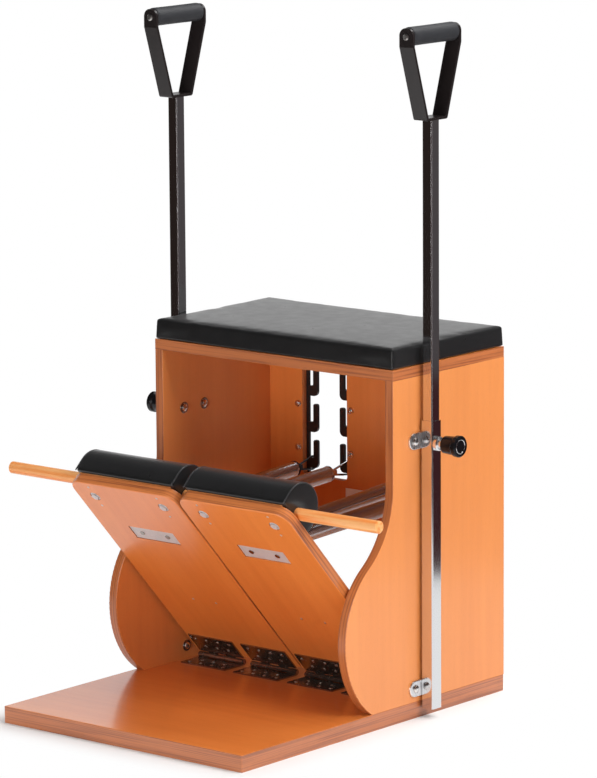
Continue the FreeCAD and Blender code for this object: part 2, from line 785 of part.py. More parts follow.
def clamp(word, side):
    """The boss on a sleeve, and the knob and stud that clamp the pole."""
    bore = "stud_radius + stud_play"
    neck_end = "boss_length + neck_length - soft_gap"
    boss = turned(word + "_clamp_boss", [
        (bore, "0"), ("boss_radius", "0"), ("boss_radius", "boss_side_share * boss_length"),
        ("boss_face_share * boss_radius", "boss_length"), ("neck_radius", "boss_length"),
        ("neck_radius", neck_end), (bore, neck_end)])
    piece(set_beside(boss, side, "sleeve_outer"), word + "_clamp_boss")
    stud_reach = "knob_start - stud_start + stud_grip"
    stud = turned(word + "_clamp_stud", [
        ("0", "0"), ("(1 - stud_point_share) * stud_radius", "0"),
        ("stud_radius", "stud_point_share * stud_radius"),
        ("stud_radius", stud_reach), ("0", stud_reach)])
    piece(set_beside(stud, side, "stud_start"), word + "_clamp_stud")
    waist = "knob_length - knob_flange_thick"
    face = "knob_length"
    swell = "knob_radius + knob_swell_share * (knob_flange_radius - knob_radius)"
    knob = turned(word + "_clamp_knob", [
        ("stud_radius", "0"), ("knob_radius - knob_round", "0"), ("knob_radius", "knob_round"),
        (swell, "knob_neck_share * (%s)" % waist), ("knob_flange_radius", waist),
        ("knob_flange_radius", face + " - knob_round"),
        ("knob_flange_radius - knob_round", face), ("knob_flange_radius - knob_rim", face),
        ("knob_flange_radius - knob_rim", face + " - knob_dish"), ("0", face + " - knob_dish"),
        ("0", "stud_grip"), ("stud_radius", "stud_grip")])
    piece(set_beside(knob, side, "knob_start"), word + "_clamp_knob")


def pole(word, side):
    label = word + "_pole"
    body = piece(square_tube(label, "pole_size", "pole_size - 2 * pole_wall", "pole_corner", None,
                             "pole_low", "pole_high"), label)
    place(body, "%d * sleeve_centre" % side, "pole_depth", "pole_low")


def handle(word, side):
    """A bent strap on the pole's top, with a foam grip on a rod between its ends."""
    label = word + "_handle_strap"
    body = piece(new_body(label), label)
    sketch = sketch_on(body, "YZ_Plane")
    inner_foot = "(strap_foot - strap_thick * (1 - sin(strap_lean)) / cos(strap_lean))"
    inner_knee = "strap_knee + strap_thick * tan(strap_lean / 2)"
    half = [("strap_foot", "0"), ("strap_reach", "strap_knee"), ("strap_reach", "strap_top"),
            ("(strap_reach - strap_thick)", "strap_top"), ("(strap_reach - strap_thick)", inner_knee),
            (inner_foot, "strap_thick")]
    other = [("-" + across, rise) for across, rise in reversed(half)]
    polygon(sketch, half + other)
    pad(body, sketch, "strap_width")

    def end_corner(edge):
        return along(edge, AXIS_Y) and edge.BoundBox.ZMin > N.grip_rise
    round_edges(body, "strap_end_round", end_corner)

    def bend(edge):
        across = abs(edge.CenterOfMass.y)
        outside = abs(across - N.strap_foot) < N.near_gap and edge.CenterOfMass.z < N.near_gap
        knee = abs(across - N.strap_reach) < N.near_gap
        return along(edge, AXIS_X) and (outside or knee) and edge.BoundBox.ZMax < N.grip_rise
    round_edges(body, "strap_round", bend)
    hole = sketch_on(body, "XZ_Plane")
    circle(hole, "0", "grip_rise", "rod_radius + bolt_play")
    pocket(body, hole)
    place(body, "%d * sleeve_centre" % side, "pole_depth", "pole_high")

    grip = turned(word + "_grip", [
        ("rod_radius", "-grip_half"), ("grip_radius - grip_round", "-grip_half"),
        ("grip_radius", "-grip_half + grip_round"), ("grip_radius", "grip_half - grip_round"),
        ("grip_radius - grip_round", "grip_half"), ("rod_radius", "grip_half")])
    end = "(strap_reach + rod_head_thick)"
    rim = "(strap_reach + rod_rim_share * rod_head_thick)"
    crown = "rod_crown_share * rod_head_radius"
    rod = turned(word + "_grip_rod", [
        ("0", "-" + end), (crown, "-" + end), ("rod_head_radius", "-" + rim),
        ("rod_head_radius", "-strap_reach"), ("rod_radius", "-strap_reach"), ("rod_radius", "strap_reach"),
        ("rod_head_radius", "strap_reach"), ("rod_head_radius", rim), (crown, end), ("0", end)])
    for obj, ending in ((grip, "_grip"), (rod, "_grip_rod")):
        piece(obj, word + ending)
        place(obj, "%d * sleeve_centre" % side, "pole_depth", "pole_high + grip_rise", AXIS_X, "90")


# Pedals, drawn level with the hinge axis at the origin and the free end along -Y

def pedal_board(word, side):
    label = word + "_pedal_board"
    body = piece(new_body(label), label)
    sketch = sketch_on(body, "XY_Plane")
    rectangle(sketch, "-pedal_width / 2", "-pedal_reach", "pedal_width / 2", "-pedal_heel")
    pad(body, sketch, "board_top", symmetric=False)
    low = sketch_on(body, "XY_Plane")
    rectangle(low, "-pedal_width / 2 - overrun", "-pedal_reach - overrun",
              "pedal_width / 2 + overrun", "overrun")
    pocket(body, low, "board_low", reverse=True)
    free_end = -N.pedal_reach + N.pedal_heel
    round_edges(body, "pedal_corner", lambda edge: upright(edge) and edge.CenterOfMass.y < free_end)

    def rim(edge):
        flat = edge.BoundBox.ZLength < N.near_gap
        return flat and edge.BoundBox.YMin < -N.pedal_heel - N.overrun
    round_edges(body, "pedal_round", rim)
    for spread, reach, radius, depth in (
            ("lock_spread", "pad_reach", "lock_well_radius", "board_low + lock_well_depth"),
            ("lock_spread", "pad_reach", "lock_radius + bolt_play", "board_top + overrun"),
            ("anchor_spread", "anchor_reach", "eye_wire / 2 + bolt_play", "board_top + overrun")):
        holes = sketch_on(body, "XY_Plane")
        for sign in (-1, 1):
            circle(holes, "%d * %s" % (sign, spread), "-" + reach, radius)
        pocket(body, holes, depth, reverse=True)
    recess = sketch_on(body, "XY_Plane")
    half_length = "(plate_length / 2 + plate_play)"
    half_width = "(plate_width / 2 + plate_play)"
    rectangle(recess, "-" + half_length, "-anchor_reach - " + half_width,
              half_length, "-anchor_reach + " + half_width)
    pocket(body, recess, "plate_low + plate_thick", reverse=True)
    on_pedal(body, side)


def dome_block(width, height, base, length):
    """A D-shaped block across the pedal, its round side up."""
    half = width / 2
    spring_line = base + height - half
    middle = -N.pad_reach
    foot_front = Vector(-length / 2, middle - half, base)
    foot_back = Vector(-length / 2, middle + half, base)
    side_front = Vector(-length / 2, middle - half, spring_line)
    side_back = Vector(-length / 2, middle + half, spring_line)
    crown = Vector(-length / 2, middle, spring_line + half)
    edges = [Part.LineSegment(foot_back, foot_front).toShape(),
             Part.LineSegment(foot_front, side_front).toShape(),
             Part.Arc(side_front, crown, side_back).toShape(),
             Part.LineSegment(side_back, foot_back).toShape()]
    return Part.Face(Part.Wire(edges)).extrude(AXIS_X * length)


def pedal_pad(word, side):
    """The upholstered roll and the grooved wooden core that it covers."""
    skin = N.pad_skin
    cover = dome_block(N.pad_width, N.pad_height - N.soft_gap, N.board_top + N.soft_gap, N.pad_length)
    ends = [edge for edge in cover.Edges
            if edge.BoundBox.XLength < N.near_gap and edge.BoundBox.ZMax > N.dowel_axis]
    cover = cover.makeFillet(N.pad_round, ends)
    hollow_width = N.pad_width - 2 * skin
    hollow_height = N.pad_height - skin
    core_length = N.pad_length - 2 * skin
    hollow = dome_block(hollow_width, hollow_height, N.board_top - N.overrun, core_length)
    tunnel_start = Vector(-N.pad_length, -N.pad_reach, N.dowel_axis)
    wide = N.dowel_radius + N.dowel_hole_play
    mouth = Part.makeCylinder(wide, 2 * N.pad_length, tunnel_start, AXIS_X)
    roll = feature_of(cover.cut(hollow).cut(mouth), word + "_pedal_pad")
    piece(on_pedal(roll, side), word + "_pedal_pad")
    play = 2 * N.soft_gap
    core_height = hollow_height - N.overrun - N.soft_gap
    block = dome_block(hollow_width - play, core_height, N.board_top, core_length - play)
    snug = N.dowel_radius + N.dowel_play
    groove = Part.makeCylinder(snug, 2 * N.pad_length, tunnel_start, AXIS_X)
    mouth_corner = Vector(-N.pad_length, -N.pad_reach - snug, N.board_top - N.overrun)
    below = Part.makeBox(2 * N.pad_length, 2 * snug, N.dowel_rise + N.overrun, mouth_corner)
    core = feature_of(block.cut(groove.fuse(below)), word + "_pad_core")
    piece(on_pedal(core, side), word + "_pad_core")


def pedal_dowel():
    """The rod through both pads that makes the two pedals move as one."""
    half = "dowel_length / 2"
    rod = turned("dowel_turning", [
        ("0", "-" + half), ("dowel_radius - dowel_chamfer", "-" + half),
        ("dowel_radius", "-%s + dowel_chamfer" % half), ("dowel_radius", "%s - dowel_chamfer" % half),
        ("dowel_radius - dowel_chamfer", half), ("0", half)])
    centre = pedal_frame(0).multVec(Vector(N.dowel_shift, -N.pad_reach, N.dowel_axis))
    piece(feature_of(moved(rod.Shape, centre, AXIS_X), "pedal_dowel"), "pedal_dowel")


def lock_bolts(word, side):
    """The bolts under a pad that bear on the dowel, each with a washer in its shallow well."""
    across = N.lock_head_across / math.sqrt(3)
    washer_low = N.board_low + N.lock_well_depth - N.lock_washer_thick
    head_low = washer_low - N.lock_head_thick
    tip = N.dowel_axis - N.dowel_radius - N.lock_tip_gap
    shapes = []
    for sign in (-1, 1):
        centre = Vector(sign * N.lock_spread, -N.pad_reach, head_low)
        corners = [centre + Vector(math.cos(i * math.pi / 3), math.sin(i * math.pi / 3), 0) * across
                   for i in range(7)]
        head = Part.Face(Part.makePolygon(corners)).extrude(AXIS_Z * N.lock_head_thick)
        shank = Part.makeCylinder(N.lock_radius, tip - head_low, centre, AXIS_Z)
        seat = Vector(centre.x, centre.y, washer_low)
        washer = Part.makeCylinder(N.lock_washer_radius, N.lock_washer_thick, seat, AXIS_Z)
        shapes.append(head.fuse([shank, washer]).removeSplitter())
    bolts = feature_of(Part.makeCompound(shapes), word + "_lock_bolts")
    piece(on_pedal(bolts, side), word + "_lock_bolts")


def anchor_plate(word, side):
    """The steel plate let into a pedal's underside that the spring eyes are bolted to."""
    label = word + "_anchor_plate"
    body = piece(new_body(label), label)
    sketch = sketch_on(body, "XY_Plane")
    low, high = "-anchor_reach - plate_width / 2", "-anchor_reach + plate_width / 2"
    rectangle(sketch, "-plate_length / 2", low, "plate_length / 2", high)
    pad(body, sketch, "plate_thick", symmetric=False)
    holes = sketch_on(body, "XY_Plane")
    for sign in (-1, 1):
        circle(holes, "%d * anchor_spread" % sign, "-anchor_reach", "eye_wire / 2 + bolt_play")
    pocket(body, holes)
    seat = FreeCAD.Placement(Vector(0, 0, N.plate_low), FreeCAD.Rotation())
    body.Placement = pedal_frame(side).multiply(seat)


def spring_eyes(word, side):
    """The two eye bolts of a pedal, each with a flat head on the plate."""
    wire = N.eye_wire / 2
    ring_radius = N.eye_inner + wire
    shapes = []
    for sign in (-1, 1):
        centre = Vector(sign * N.anchor_spread, -N.anchor_reach, N.eye_axis)
        ring = Part.makeTorus(ring_radius, wire, centre, AXIS_X)
        head_low = N.plate_low - N.anchor_head_thick
        foot = Vector(centre.x, centre.y, head_low)
        shank = Part.makeCylinder(wire, N.eye_axis - ring_radius - head_low, foot, AXIS_Z)
        head = Part.makeCylinder(N.anchor_head_radius, N.anchor_head_thick, foot, AXIS_Z)
        shapes.append(ring.fuse([shank, head]).removeSplitter())
    eyes = feature_of(Part.makeCompound(shapes), word + "_spring_eyes")
    piece(on_pedal(eyes, side), word + "_spring_eyes")


# Hinges between the base and the pedals

def hinge_leaf(own, flip):
    """One leaf with its share of the knuckles; flip turns it under a pedal's board."""
    pitch = N.leaf_width / KNUCKLE_COUNT
    seat = N.board_low - N.leaf_thick if flip else -N.hinge_offset
    clear = N.knuckle_radius + N.knuckle_gap
    plate = Part.makeBox(N.leaf_width, N.leaf_length - clear, N.leaf_thick,
                         Vector(-N.leaf_width / 2, -N.leaf_length, seat))
    parts = []
    for i in own:
        start = -N.leaf_width / 2 + i * pitch + N.knuckle_gap / 2
        width = pitch - N.knuckle_gap
        tongue_low = -N.knuckle_radius if not flip else seat
        tongue_high = seat + N.leaf_thick if not flip else N.knuckle_radius
        tongue = Part.makeBox(width, clear, tongue_high - tongue_low, Vector(start, -clear, tongue_low))
        parts.append(tongue)
        parts.append(Part.makeCylinder(N.knuckle_radius, width, Vector(start, 0, 0), AXIS_X))
    leaf = plate.fuse(parts).removeSplitter()
    bore = Part.makeCylinder(N.pin_radius + N.pin_play, 2 * N.leaf_width, Vector(-N.leaf_width, 0, 0), AXIS_X)
    return leaf.cut(bore)


def hinge_spots():
    """Where the four hinges stand across the base, left to right."""
    return [side * N.pedal_centre + sign * N.hinge_spread for side in SIDES.values() for sign in (-1, 1)]


def hinges():
    axis = FreeCAD.Placement(Vector(0, N.hinge_depth, N.hinge_rise), FreeCAD.Rotation())
    base_leaf = hinge_leaf(range(0, KNUCKLE_COUNT, 2), flip=False)
    pin_half = N.leaf_width / 2 + N.knuckle_gap
    pin = Part.makeCylinder(N.pin_radius, 2 * pin_half, Vector(-pin_half, 0, 0), AXIS_X)
    heads = []
    for sign in (-1, 1):
        tip = Vector(pin_half * sign, 0, 0)
        heads.append(Part.makeCylinder(N.pin_head_radius, N.pin_head_thick, tip, AXIS_X * sign))
    pin = pin.fuse(heads).removeSplitter()
    for label, shape in (("hinge_base_leaves", base_leaf), ("hinge_pins", pin)):
        copies = []
        for across in hinge_spots():
            copy = shape.copy()
            copy.Placement = axis.multiply(FreeCAD.Placement(Vector(across, 0, 0), FreeCAD.Rotation()))
            copies.append(copy)
        piece(feature_of(Part.makeCompound(copies), label), label)
    pedal_leaf = hinge_leaf(range(1, KNUCKLE_COUNT, 2), flip=True)
    for word, side in SIDES.items():
        copies = []
        for sign in (-1, 1):
            copy = pedal_leaf.copy()
            copy.translate(Vector(sign * N.hinge_spread, 0, 0))
            copies.append(copy)
        leaves = feature_of(Part.makeCompound(copies), word + "_pedal_leaves")
        piece(on_pedal(leaves, side), word + "_pedal_leaves")


# Springs, drawn along +Z from the hook plate to the pedal's eye

def swept_wire(edges, radius):
    """A round wire along a path, checked against its section times its length."""
    path = Part.Wire(edges)
    start = path.Edges[0]
    first = start.valueAt(start.FirstParameter)
    heading = start.tangentAt(start.FirstParameter)
    section = Part.Wire(Part.makeCircle(radius, first, heading))
    shell = Part.BRepOffsetAPI.MakePipeShell(path)
    shell.add(section)
    shell.build()
    shell.makeSolid()
    solid = shell.shape()
    expected = math.pi * radius ** 2 * path.Length
    if abs(solid.Volume / expected - 1) > SWEEP_SHARE:
        raise RuntimeError("a swept wire has the wrong volume")
    return solid


def tangent_arc(start, heading, end):
    """The arc that leaves start along a heading and ends at a point."""
    chord = end - start
    length = chord.Length
    forward = chord / length
    sideways = heading - forward * heading.dot(forward)
    if sideways.Length < SLACK_SHARE:
        return Part.LineSegment(start, end).toShape()
    bow = math.atan2(sideways.Length, heading.dot(forward))
    top = (start + end) / 2 + sideways.normalize() * (length / 2 * math.tan(bow / 2))
    return Part.Arc(start, top, end).toShape()


def biarc(start, leave, end, arrive):
    """Two tangent arcs from one point and heading to another."""
    gap = end - start
    both = leave + arrive
    spread = 2 * (1 - leave.dot(arrive))
    if spread < SLACK_SHARE:
        reach = gap.dot(gap) / (4 * gap.dot(arrive))
    else:
        reach = (-gap.dot(both) + math.sqrt(gap.dot(both) ** 2 + spread * gap.dot(gap))) / spread
    middle = (start + end + (leave - arrive) * reach) / 2
    first = tangent_arc(start, leave, middle)
    second = tangent_arc(end, arrive * -1, middle)
    back = second.Curve
    if hasattr(back, "Radius"):
        half_way = second.valueAt((second.FirstParameter + second.LastParameter) / 2)
        second = Part.Arc(middle, half_way, end).toShape()
    else:
        second = Part.LineSegment(middle, end).toShape()
    return [first, second]


def coil_path(low, high):
    """A helix of biarcs whose ends turn in to run straight along the axis."""
    wire = N.coil_wire
    turn_in = N.coil_turn_in
    start = low + wire + turn_in
    end = high - wire - turn_in
    steps = COIL_TURNS * HALF_TURNS_PER_TURN
    climb = (end - start) / (2 * math.pi * COIL_TURNS)

    def point(angle, height):
        return Vector(N.coil_radius * math.cos(angle), N.coil_radius * math.sin(angle), height)

    def heading(angle):
        return Vector(-N.coil_radius * math.sin(angle), N.coil_radius * math.cos(angle), climb).normalize()

    lead = turn_in / N.coil_radius
    angles = [2 * math.pi * COIL_TURNS * i / steps for i in range(steps + 1)]
    edges = [Part.LineSegment(point(-lead, low), point(-lead, low + wire)).toShape()]
    edges += biarc(point(-lead, low + wire), AXIS_Z, point(0, start), heading(0))
    for a, b in zip(angles, angles[1:]):
        edges += biarc(point(a, start + climb * a), heading(a), point(b, start + climb * b), heading(b))
    last = angles[-1]
    edges += biarc(point(last, end), heading(last), point(last + lead, high - wire), AXIS_Z)
    edges.append(Part.LineSegment(point(last + lead, high - wire), point(last + lead, high)).toShape())
    return edges


def least_gap(edges, wire):
    """The least clear space between a wire's turns, measured on points of its path."""
    points = [p for edge in edges for p in edge.discretize(POINTS_PER_ARC)]
    apart = math.pi * N.coil_radius
    lengths = [0.0]
    for a, b in zip(points, points[1:]):
        lengths.append(lengths[-1] + a.distanceToPoint(b))
    two_turns = 2 * 2 * HALF_TURNS_PER_TURN * POINTS_PER_ARC
    least = min(points[i].distanceToPoint(points[j]) for i in range(len(points))
                for j in range(i + 1, min(i + two_turns, len(points))) if lengths[j] - lengths[i] > apart)
    return least - wire


def link_ring():
    """The teardrop ring whose wide end turns about a hook's arm."""
    wide, narrow, tip = N.link_radius, N.link_nose_radius, N.link_tip
    lean = math.asin((wide - narrow) / tip)
    square = Vector(0, math.cos(lean), math.sin(lean))
    mirror = Vector(0, -square.y, square.z)
    nose = AXIS_Z * tip
    upper = Part.LineSegment(square * wide, nose + square * narrow).toShape()
    front = Part.Arc(nose + square * narrow, nose + AXIS_Z * narrow, nose + mirror * narrow).toShape()
    lower = Part.LineSegment(nose + mirror * narrow, mirror * wide).toShape()
    rear = Part.Arc(mirror * wide, AXIS_Z * -wide, square * wide).toShape()
    return swept_wire([upper, front, lower, rear], N.link_wire / 2)


def end_cap(flange, nose):
    """A spring's turned end cap, from its flange towards its nose."""
    step = math.copysign(N.cap_rim, nose - flange)
    profile = [(0, flange), (N.cap_radius, flange), (N.cap_radius, flange + step),
               (N.cap_nose_radius, nose), (0, nose)]
    points = [Vector(radius, 0, height) for radius, height in profile]
    return Part.Face(Part.makePolygon(points + points[:1])).revolve(Vector(), AXIS_Z, 360)


def rear_cap(flange, nose):
    """The cap at the hook plate's end: two cheeks hold a pin inside the ring."""
    start = N.link_tip - N.cheek_back
    inner = N.link_wire / 2 + N.cheek_play
    shapes = []
    for low in (-inner - N.cheek_thick, inner):
        corner = Vector(low, -N.cheek_height / 2, start)
        shapes.append(Part.makeBox(N.cheek_thick, N.cheek_height, nose + N.overrun - start, corner))
    pin_half = inner + N.cheek_thick
    pin_start = Vector(-pin_half, 0, N.link_tip)
    shapes.append(Part.makeCylinder(N.link_pin_radius, 2 * pin_half, pin_start, AXIS_X))
    return end_cap(flange, nose).fuse(shapes).removeSplitter()


def front_hook(flange, nose, ring_centre):
    """The cap at the pedal's end with the ring that passes through the eye."""
    wire = N.hook_wire / 2
    ring = Part.makeTorus(N.hook_ring_radius, wire, AXIS_Z * ring_centre, AXIS_Y)
    tail_length = ring_centre - N.hook_ring_radius - nose + N.cap_rim
    tail = Part.makeCylinder(wire, tail_length, AXIS_Z * (nose - N.cap_rim), AXIS_Z)
    return end_cap(flange, nose).fuse([tail, ring]).removeSplitter()


def spring(word, side, seat_word, seat):
    """A coil with an end cap at each end, a ring at its hook plate and a hook at its pedal."""
    label = "%s_%s_spring" % (word, seat_word)
    out = side * seat
    eye = pedal_frame(side).multVec(Vector(out * N.anchor_spread, -N.anchor_reach, N.eye_axis))
    hold = Vector(side * N.pedal_centre + out * N.hook_centre, N.hook_axis_depth, N.hook_axis_rise)
    run = eye - hold
    length = run.Length
    forward = run / length
    across = (AXIS_X - forward * forward.x).normalize()
    ring_centre = length - N.hook_ring_radius
    nose_front = ring_centre - N.hook_ring_radius - N.hook_wire / 2 - N.hook_tail
    flange_front = nose_front - N.cap_nose_length - N.cap_rim
    nose_rear = N.link_tip + N.link_nose_radius + N.link_wire / 2 + N.cap_nose_gap
    flange_rear = nose_rear + N.cap_nose_length + N.cap_rim
    edges = coil_path(flange_rear, flange_front)
    gap = least_gap(edges, N.coil_wire)
    print("%s: least gap between turns %.2f mm, length %.1f mm" % (label, gap, length))
    if gap <= N.turn_gap:
        raise RuntimeError("the turns of %s touch" % label)
    link = Part.makeCompound([rear_cap(flange_rear, nose_rear), link_ring()])
    shapes = ((label, swept_wire(edges, N.coil_wire / 2)), (label + "_link", link),
              (label + "_hook", front_hook(flange_front, nose_front, ring_centre)))
    for name, shape in shapes:
        obj = piece(feature_of(shape, name), name)
        obj.Placement = frame_at(hold, across, forward)


# The whole chair

base_board()
back_panel()
seat_board()
seat_cushion()
hook_plate_bolts()
bracket_bolts()
hinges()
pedal_dowel()
for word, side in SIDES.items():
    side_panel(word, side)
    pole_sleeve(word, side)
    sleeve_brackets(word, side)
    clamp(word, side)
    pole(word, side)
    handle(word, side)
    pedal_board(word, side)
    pedal_pad(word, side)
    lock_bolts(word, side)
    anchor_plate(word, side)
    spring_eyes(word, side)
    for seat_word, seat in SEATS.items():
        hook_plate(word, side, seat_word, seat)
        spring(word, side, seat_word, seat)
doc.recompute()

for obj in doc.Objects:
    faults = [state for state in obj.State if state in ("Invalid", "Error")]
    if faults:
        raise RuntimeError("%s is %s" % (obj.Label, faults))
for obj in PIECES:
    if obj.Shape.isNull() or not obj.Shape.isValid() or not obj.Shape.Solids:
        raise RuntimeError("%s has no valid solid" % obj.Label)

os.makedirs("parts", exist_ok=True)
for obj in PIECES:
    obj.Shape.exportStep("parts/%s.step" % obj.Label)
print("%d pieces" % len(PIECES))
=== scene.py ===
import json
import math

import bmesh
import bpy
import numpy as np
from bpy.props import FloatProperty, FloatVectorProperty, IntProperty, PointerProperty
from bpy.types import Operator, Panel, PropertyGroup
from mathutils import Matrix, Vector


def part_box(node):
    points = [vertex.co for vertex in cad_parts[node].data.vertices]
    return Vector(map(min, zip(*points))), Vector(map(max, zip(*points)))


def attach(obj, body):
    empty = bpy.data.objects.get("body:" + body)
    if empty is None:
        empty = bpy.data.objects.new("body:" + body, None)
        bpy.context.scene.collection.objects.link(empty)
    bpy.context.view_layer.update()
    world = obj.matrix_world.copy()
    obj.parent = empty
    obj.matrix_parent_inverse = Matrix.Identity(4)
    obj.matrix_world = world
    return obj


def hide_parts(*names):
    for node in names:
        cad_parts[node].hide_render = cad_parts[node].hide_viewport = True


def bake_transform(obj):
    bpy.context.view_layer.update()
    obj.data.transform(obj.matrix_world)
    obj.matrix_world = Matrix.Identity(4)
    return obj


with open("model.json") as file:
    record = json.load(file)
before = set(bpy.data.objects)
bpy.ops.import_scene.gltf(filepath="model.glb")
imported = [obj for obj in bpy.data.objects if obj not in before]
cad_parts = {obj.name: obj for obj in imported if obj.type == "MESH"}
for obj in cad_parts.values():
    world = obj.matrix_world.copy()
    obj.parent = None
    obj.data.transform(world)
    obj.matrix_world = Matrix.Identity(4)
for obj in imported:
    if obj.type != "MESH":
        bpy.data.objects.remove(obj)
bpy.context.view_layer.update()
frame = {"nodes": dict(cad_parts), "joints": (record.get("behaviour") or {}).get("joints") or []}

bl_info = {
    "name": "Pilates chair",
    "version": (1, 0, 0),
    "blender": (4, 5, 0),
    "location": "View3D > Sidebar > Chair",
    "description": "Dresses a plywood pilates chair with upholstery, springs, fittings and finishes",
    "category": "Object",
}

NODES = frame["nodes"]
JOINTS = {joint["name"]: joint for joint in frame["joints"]}
SIDES = {"left": -1, "right": 1}
SPRING_ROWS = {"outer": 1, "inner": -1}
HINGE = Vector(JOINTS["left_pedal_hinge"]["pos_m"])
PEDAL_CENTRE = abs(HINGE.x)
X, Y, Z = range(3)

# Ply grain: noise cells per metre across the grain, and the share of them along it
BROAD_TONES, GRAIN_BANDS, FINE_FIBRES, FLECKS = 9, 70, 520, 620
LONG_GRAIN, SHORT_GRAIN = 0.06, 0.22

# Metals: tint, roughness, and how strongly they are brushed
METALS = {
    "chrome": ((0.96, 0.96, 0.97, 1), 0.045, 0.0),
    "satin chrome": ((0.95, 0.95, 0.96, 1), 0.20, 0.0),
    "spring chrome": ((0.66, 0.73, 0.77, 1), 0.06, 0.0),
    "bright zinc": ((0.66, 0.65, 0.63, 1), 0.22, 0.08),
    "dark hinge steel": ((0.36, 0.33, 0.30, 1), 0.16, 0.04),
    "screw steel": ((0.55, 0.53, 0.50, 1), 0.18, 0.04),
    "dome bolts": ((0.66, 0.64, 0.62, 1), 0.12, 0.03),
    "bright dome": ((0.86, 0.84, 0.82, 1), 0.10, 0.02),
    "brushed plate": ((0.84, 0.82, 0.82, 1), 0.50, 0.12),
}
# Nodes of each side by their finish
SIDE_METALS = {
    "chrome": ("sleeve", "pole", "inner_spring_link", "inner_spring_hook", "outer_spring_hook"),
    "satin chrome": ("sleeve_brackets", "clamp_boss"),
    "bright zinc": ("clamp_stud", "grip_rod"),
    "brushed plate": ("anchor_plate", "lock_bolts"),
    "dark hinge steel": ("pedal_leaves", "spring_eyes"),
}
SIDE_BLACK = ("handle_strap", "outer_spring_link", "inner_hook_plate", "outer_hook_plate")
BLACK_PAINT = (0.011, 0.008, 0.008, 1)
BLACK_MOULDING = (0.004, 0.004, 0.005, 1)
VINYL_WORN = (0.010, 0.010, 0.011, 1)
FOAM_PALE = (0.034, 0.035, 0.039, 1)

# Cloth that swells a stuffed cover, and the least move that counts, in metres
STUFFING = {
    "quality": 4, "mass": 0.4, "tension_stiffness": 25, "compression_stiffness": 25,
    "shear_stiffness": 15, "bending_stiffness": 4, "use_pressure": True, "uniform_pressure_force": 3.0,
}
STUFFING_FRAMES = 20
LEAST_MOVE = 1e-9

# Seat cushion, in metres: fall of the top to its rim, draw and bow of the sides, radii of the edges
CUSHION_CROWN, CUSHION_TAPER, CUSHION_BOW = 0.0015, 0.0016, 0.0010
CUSHION_CORNER, CUSHION_RIM, CUSHION_FOOT = 0.0035, 0.0060, 0.002
# Room that the covers leave for their swell, as shares of it: cushion, ends and sides of the rolls
CUSHION_ROOM, PAD_END_ROOM, PAD_ROOM = 0.1, 0.25, 0.3

# Pedal rolls: gap to the board in metres, and steps round and along
PAD_GAP = 0.0003
PAD_FLAT_STEPS, PAD_SIDE_STEPS, PAD_ARC_STEPS, PAD_RUN_STEPS = 8, 4, 24, 48
# Rings that close a roll's end: insets as shares of its width, then setbacks and insets in metres
PAD_END_SHARES = (0.42, 0.31, 0.20, 0.11, 0.055, 0.024)
PAD_END_ROUNDING = ((0.0004, 0.0009), (0.0012, 0.0003))
PAD_END_SETBACK = 0.0025
# Piping: setback from the end and inset as shares of its radius, and where its straight foot begins
PIPING_SETBACK, PIPING_INSET, PIPING_FOOT = 1.4, 1.2, 0.002

# Coils: points on each turn, and how far the ends reach into their caps
COIL_POINTS, COIL_OVERLAP = 22, 0.0005

# Foam grips: bore, share that the waist takes off, and end rounding as shares of the radius and setbacks
GRIP_BORE, GRIP_WAIST = 0.0055, 0.012
GRIP_END = ((0.80, 0.0), (0.93, 0.0008), (0.985, 0.0025), (1.0, 0.006))
GRIP_STEPS, GRIP_SEGMENTS = 10, 48

# Dome heads: shares of a bolt head's radius and height, and the rings of the dome
DOME_OVERHANG, DOME_SHOULDER, DOME_RISE = 1.03, 0.42, 0.72
DOME_RINGS, DOME_STEP, DOME_SEGMENTS = 8, math.radians(12), 28

# Screw heads: rings as shares of height and radius, and a cross recess
SCREW_RINGS = ((0.0, 1.0), (0.45, 0.97), (0.85, 0.80), (1.0, 0.62))
SCREW_CROSS, SCREW_CROSS_ARMS, SCREW_CROSS_FLOOR, SCREW_CROSS_TAPER = 0.42, 0.35, 0.35, 0.8
SCREW_SEGMENTS = 24

# Hinge screws: places across a hinge and out from its axis, the leaf, and turns in radians per metre
HINGE_SCREW_SPOTS = (
    (-0.040, -0.044), (-0.0135, -0.044), (0.0135, -0.044), (0.040, -0.044),
    (-0.027, -0.024), (0.0, -0.024), (0.027, -0.024))
HINGE_LEAF = 0.0025
HINGE_SCREW_HEIGHT, HINGE_SCREW_SINK = 0.0012, 0.0001
BASE_SCREW_TURN, PEDAL_SCREW_TURN, WOOD_SCREW_TURN = 90, 70, 30

# Bolts of the sleeve brackets, and the profile of a nut's washer as radii and heights
BRACKET_HALF_HEIGHT = 0.015
BRACKET_BOLT_SPREAD = 0.028
WASHER = ((0.0066, 0.0), (0.0105, 0.0), (0.0105, 0.0009), (0.0099, 0.0014), (0.0066, 0.0014))
TRIM_SEGMENTS = 40

# Wood screws under a pedal: two pairs beside the pad's bolts and a pair lower down
WOOD_SCREW_RADIUS, WOOD_SCREW_HEIGHT, WOOD_SCREW_SINK = 0.0026, 0.0009, 0.0004
PAD_SCREW_ACROSS, PAD_SCREW_SHIFT = 0.080, 0.026
LOW_SCREW_ACROSS, LOW_SCREW_REACH = 0.027, 0.181

KNOB_RING_RADIUS, KNOB_RING_WIRE, KNOB_RING_SINK = 0.0122, 0.0011, 0.0012

# Blank label: its span across and in height, and its rings as depth and inset
LABEL_ACROSS, LABEL_HEIGHT = (-0.077, -0.019), (0.307, 0.332)
LABEL_RINGS = ((0.0, 0.0), (0.0004, 0.0), (0.0006, 0.0004))

